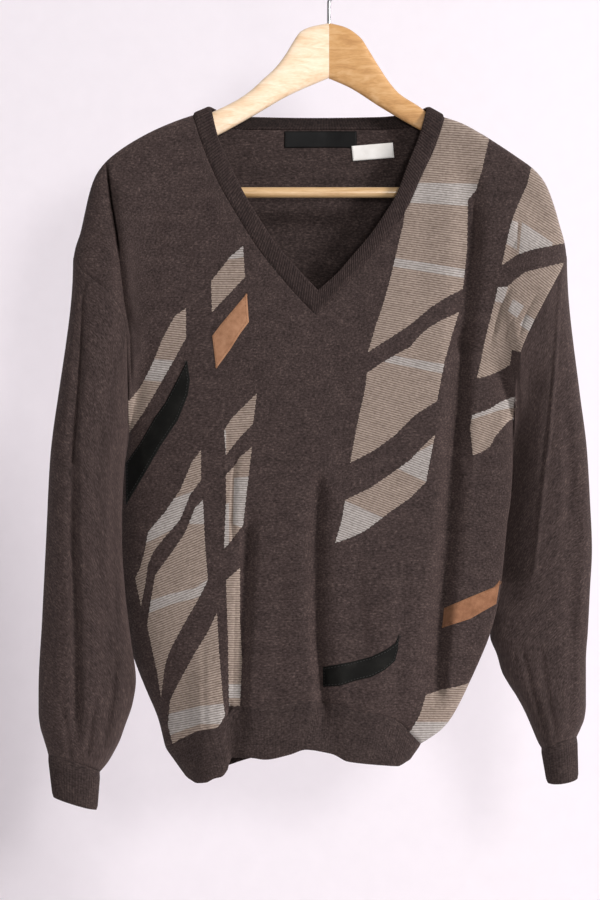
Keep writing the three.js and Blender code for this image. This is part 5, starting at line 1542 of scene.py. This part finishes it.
def label_stitches(name, label, material):
    """A row of stitches down each end of a label."""
    places = []
    for end in (-1, 1):
        for t in LABEL_STITCHES:
            for step in (0, LABEL_STITCH):
                x, y = end * (label["width"] / 2 - LABEL_SEAM), (t + step) * label["height"] / 2
                places.append(label_places(label, x, y))
    i, j = find_on(BACK, places)
    normals = -grid_at(BACK["normals"], i, j)
    points = grid_at(BACK["seam"], i, j) + normals * ((label["under"] + LABEL_STITCH_RISE) * MM)
    return capsule_chain(name, points[::2], points[1::2], normals[::2], LABEL_THREAD * MM, material)


neck_label = label_mesh("woven_neck_label", NECK_LABEL, SATIN)
name_label = label_mesh("tape_name_label", NAME_LABEL, COTTON)
neck_label_sewn = label_stitches("stitches_neck_label", NECK_LABEL, BLACK_THREAD)
name_label_sewn = label_stitches("stitches_name_label", NAME_LABEL, WHITE_THREAD)


# Hanger
def ridge_down(across):
    """Down of the ridge of the cloth at an across, and its slope there."""
    left, right = along(SHOULDER_LEFT, EVEN), along(SHOULDER_RIGHT, EVEN)
    line = np.concatenate([left, right])
    step = 0.5
    before, after = (np.interp(across + d, line[:, 0], line[:, 1]) for d in (-step, step))
    return np.interp(across, line[:, 0], line[:, 1]), (after - before) / (2 * step)


def arm_mesh(name, arm, material):
    sides = 40
    low, high = arm["range"]
    near_tip = np.abs(np.linspace(0, 1, 26)[1:] ** 2 * ARM_TIP_ROUND)
    tip = arm["tip"] + near_tip if arm["tip"] < MIDDLE else arm["tip"] - near_tip
    stations = np.unique(np.concatenate([np.linspace(low, high, 110), tip]))
    closing = 1 - np.sqrt(1 - (1 - np.minimum(np.abs(stations - arm["tip"]) / ARM_TIP_ROUND, 1)) ** 2)
    top = through(arm["top"], stations)
    ridge, slope = ridge_down(stations)
    under_cloth = (stations < NECK_POINT_LEFT[0]) | (stations > NECK_POINT_RIGHT[0])
    top = np.where(under_cloth, ridge + WOOD_BELOW_CLOTH * np.hypot(1, slope), top)
    under = through(arm["under"], stations)
    middle = (top + under) / 2
    height = (under - top) / 2 * (1 - ARM_TIP_LOWER * closing)
    x = stations + DATUM_X
    half = mix(ARM_THICK_MIDDLE, ARM_THICK_TIP, np.abs(x) / MIDDLE) / 2
    thick = half * (1 - ARM_TIP_THINNER * closing)
    angle = 2 * math.pi * np.arange(sides) / sides

    def soften(value):
        return np.sign(value) * np.abs(value) ** ARM_EDGE

    down = middle[:, None] - height[:, None] * soften(np.sin(angle))
    depth = (-ARM_SWEEP * np.abs(x))[:, None] + thick[:, None] * soften(np.cos(angle))
    points = place(stations[:, None], down, depth)
    verts = points.reshape(-1, 3)
    centre = points.mean(1, keepdims=True)
    outward = (points - centre).reshape(-1, 3)
    faces = facing_out(verts, grid_faces(len(stations), sides, closed=True), outward)
    obj = make_object(name, verts, with_ends(faces, len(stations), sides), material)
    obj.data.set_sharp_from_angle(angle=math.radians(50))
    return obj


DOME_LIFTS, DOME_HEIGHT = (0.5, 0.85, 1.0), 0.5


def tube(name, path, radius, sides, material):
    """A round bar or wire along a path, with softly domed ends."""
    path = np.asarray(path)
    ahead = np.gradient(path, axis=0)
    ahead /= np.linalg.norm(ahead, axis=1, keepdims=True)
    steady = np.array([0, 1.0, 0]) if abs(ahead[0][1]) < 0.5 else np.array([0, 0, 1.0])
    side = np.cross(ahead, steady)
    side /= np.linalg.norm(side, axis=1, keepdims=True)
    other = np.cross(side, ahead)
    angle = 2 * math.pi * np.arange(sides) / sides
    circle = np.cos(angle)[None, :, None] * side[:, None] + np.sin(angle)[None, :, None] * other[:, None]
    rings = path[:, None] + circle * radius
    dome = []
    for end, sign in ((0, -1), (-1, 1)):
        for lift in DOME_LIFTS:
            ring = path[end] + circle[end] * radius * math.sqrt(1 - lift ** 2 + 1e-3)
            dome.append(ring + ahead[end] * sign * radius * DOME_HEIGHT * lift)
    rings = np.concatenate([dome[2::-1], rings, dome[3:]])
    verts = rings.reshape(-1, 3)
    outward = (rings - rings.mean(1, keepdims=True)).reshape(-1, 3)
    faces = facing_out(verts, grid_faces(len(rings), sides, closed=True), outward)
    return make_object(name, verts, with_ends(faces, len(rings), sides), material)


def hook_path():
    r = HOOK["inner"] + HOOK["wire"] / 2
    turn = np.radians(np.arange(-55, 206, 20))
    arc = np.stack([r * np.cos(turn), np.zeros(len(turn)), -HOOK["inner"] + r * np.sin(turn)], 1)
    stem = np.array([[0, 0, HOOK["stem_foot"]], [0, 0, HOOK["stem_top"] - 8], [0, 0, HOOK["stem_top"]]])
    points = np.concatenate([stem, arc])
    length = lengths(points)
    at = np.linspace(0, length[-1], 160)
    return np.stack([through(list(zip(length, points[:, k])), at) for k in range(3)], -1) * MM


arm_left = arm_mesh("beech_arm_left", ARM_LEFT, BEECH_LEFT)
arm_right = arm_mesh("beech_arm_right", ARM_RIGHT, BEECH_RIGHT)
BAR_INSET, BAR_STEPS = 3, 60
bar_across = np.linspace(BAR["from"] + BAR_INSET, BAR["to"] - BAR_INSET, BAR_STEPS)
bar_path = place(bar_across, BAR["down"], np.full(BAR_STEPS, float(BAR["depth"])))
bar = tube("beech_bar", bar_path, BAR["radius"] * MM, 40, BEECH_BAR)
hook = tube("steel_hook", hook_path(), HOOK["wire"] / 2 * MM, 20, STEEL)

# What replaces what, and the slots of the record
PIECES = [
    (knit_front, ["front_panel"], "knit_front"),
    (knit_back, ["back_panel"], "knit_plain"),
    (sleeve_left, ["sleeve_left"], "knit_plain"),
    (sleeve_right, ["sleeve_right"], "knit_plain"),
    (cuff_left, ["cuff_left"], "knit_rib"),
    (cuff_right, ["cuff_right"], "knit_rib"),
    (hem_front, ["hem_front"], "knit_rib"),
    (hem_back, ["hem_back"], "knit_rib"),
    (neck, ["neckband"], "knit_rib"),
    *(
        (piece, [node], "suede_tan" if node.startswith("suede") else "leather_black")
        for node, piece in patch_pieces.items()
    ),
    *((piece, [], slot) for piece, slot in stitch_pieces),
    (neck_label, ["neck_label"], "label_black"),
    (name_label, ["name_label"], "label_white"),
    (neck_label_sewn, [], "label_black"),
    (name_label_sewn, [], "label_white"),
    (arm_left, ["hanger_arm_left"], "beech"),
    (arm_right, ["hanger_arm_right"], "beech"),
    (bar, ["hanger_bar"], "beech"),
    (hook, ["hanger_hook"], "steel_wire"),
]
for piece, nodes, slot in PIECES:
    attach(piece, "root")
    if nodes:
        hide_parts(*nodes)


# Stage: a pale wall behind, drawn from the front only, a pale floor, light and the eye
def plane(name, corners, material):
    make_object(name, corners, [(0, 1, 2, 3)], material, smooth=False)


def seen_from_front(material):
    """Makes a plane's back see-through, so that the wall doesn't hide the back view."""
    tree = material.node_tree
    surface = next(n for n in tree.nodes if n.type == "BSDF_PRINCIPLED")
    output = next(n for n in tree.nodes if n.type == "OUTPUT_MATERIAL")
    behind = add_node(tree, "ShaderNodeNewGeometry", {}).node.outputs["Backfacing"]
    clear = add_node(tree, "ShaderNodeBsdfTransparent", {})
    both = add_node(tree, "ShaderNodeMixShader", {0: behind, 1: surface.outputs[0], 2: clear})
    tree.links.new(both, output.inputs["Surface"])


WALL_DEPTH, WALL_REACH, FLOOR_DOWN = 0.75, 3.0, -1.75
plane(
    "stage_wall",
    [
        (-WALL_REACH, WALL_DEPTH, FLOOR_DOWN), (WALL_REACH, WALL_DEPTH, FLOOR_DOWN),
        (WALL_REACH, WALL_DEPTH, WALL_REACH), (-WALL_REACH, WALL_DEPTH, WALL_REACH),
    ],
    WALL_PAINT,
)
seen_from_front(WALL_PAINT)
plane(
    "stage_floor",
    [
        (-WALL_REACH, -WALL_REACH, FLOOR_DOWN), (WALL_REACH, -WALL_REACH, FLOOR_DOWN),
        (WALL_REACH, WALL_REACH, FLOOR_DOWN), (-WALL_REACH, WALL_REACH, FLOOR_DOWN),
    ],
    FLOOR_PAINT,
)

scene = bpy.context.scene
scene.view_settings.view_transform = "Standard"
scene.view_settings.look = "None"
world = bpy.data.worlds.new("pale_room")
world.use_nodes = True
world.node_tree.nodes["Background"].inputs["Color"].default_value = (1.0, 0.985, 0.99, 1)
world.node_tree.nodes["Background"].inputs["Strength"].default_value = 0.32
scene.world = world


def area_light(name, at, aim, size, watts, colour):
    light = bpy.data.lights.new(name, "AREA")
    light.shape = "DISK"
    light.size = size
    light.energy = watts
    light.color = colour
    obj = bpy.data.objects.new(name, light)
    obj.location = at
    obj.rotation_euler = (Vector(aim) - Vector(at)).to_track_quat("-Z", "Y").to_euler()
    scene.collection.objects.link(obj)


area_light("lamp_at_the_eye", (0.25, -2.1, -0.3), (0.05, 0, -0.42), 0.2, 13, (1.0, 0.985, 0.975))
area_light("window_right", (3.7, -3.9, 1.6), (0, 0, -0.5), 1.5, 270, (1.0, 0.975, 0.98))
area_light("room_behind", (0.6, 2.2, 0.4), (0, 0, -0.5), 1.6, 22, (1.0, 0.98, 0.97))

camera = bpy.data.cameras.new("eye")
camera.lens = 80
camera.sensor_fit = "VERTICAL"
camera.sensor_height = 36
camera_object = bpy.data.objects.new("eye", camera)
camera_object.location = (EYE_X * MM, -EYE_DISTANCE * MM, EYE_Z * MM)
camera_object.rotation_euler = (math.pi / 2, 0, 0)
scene.collection.objects.link(camera_object)
scene.camera = camera_object
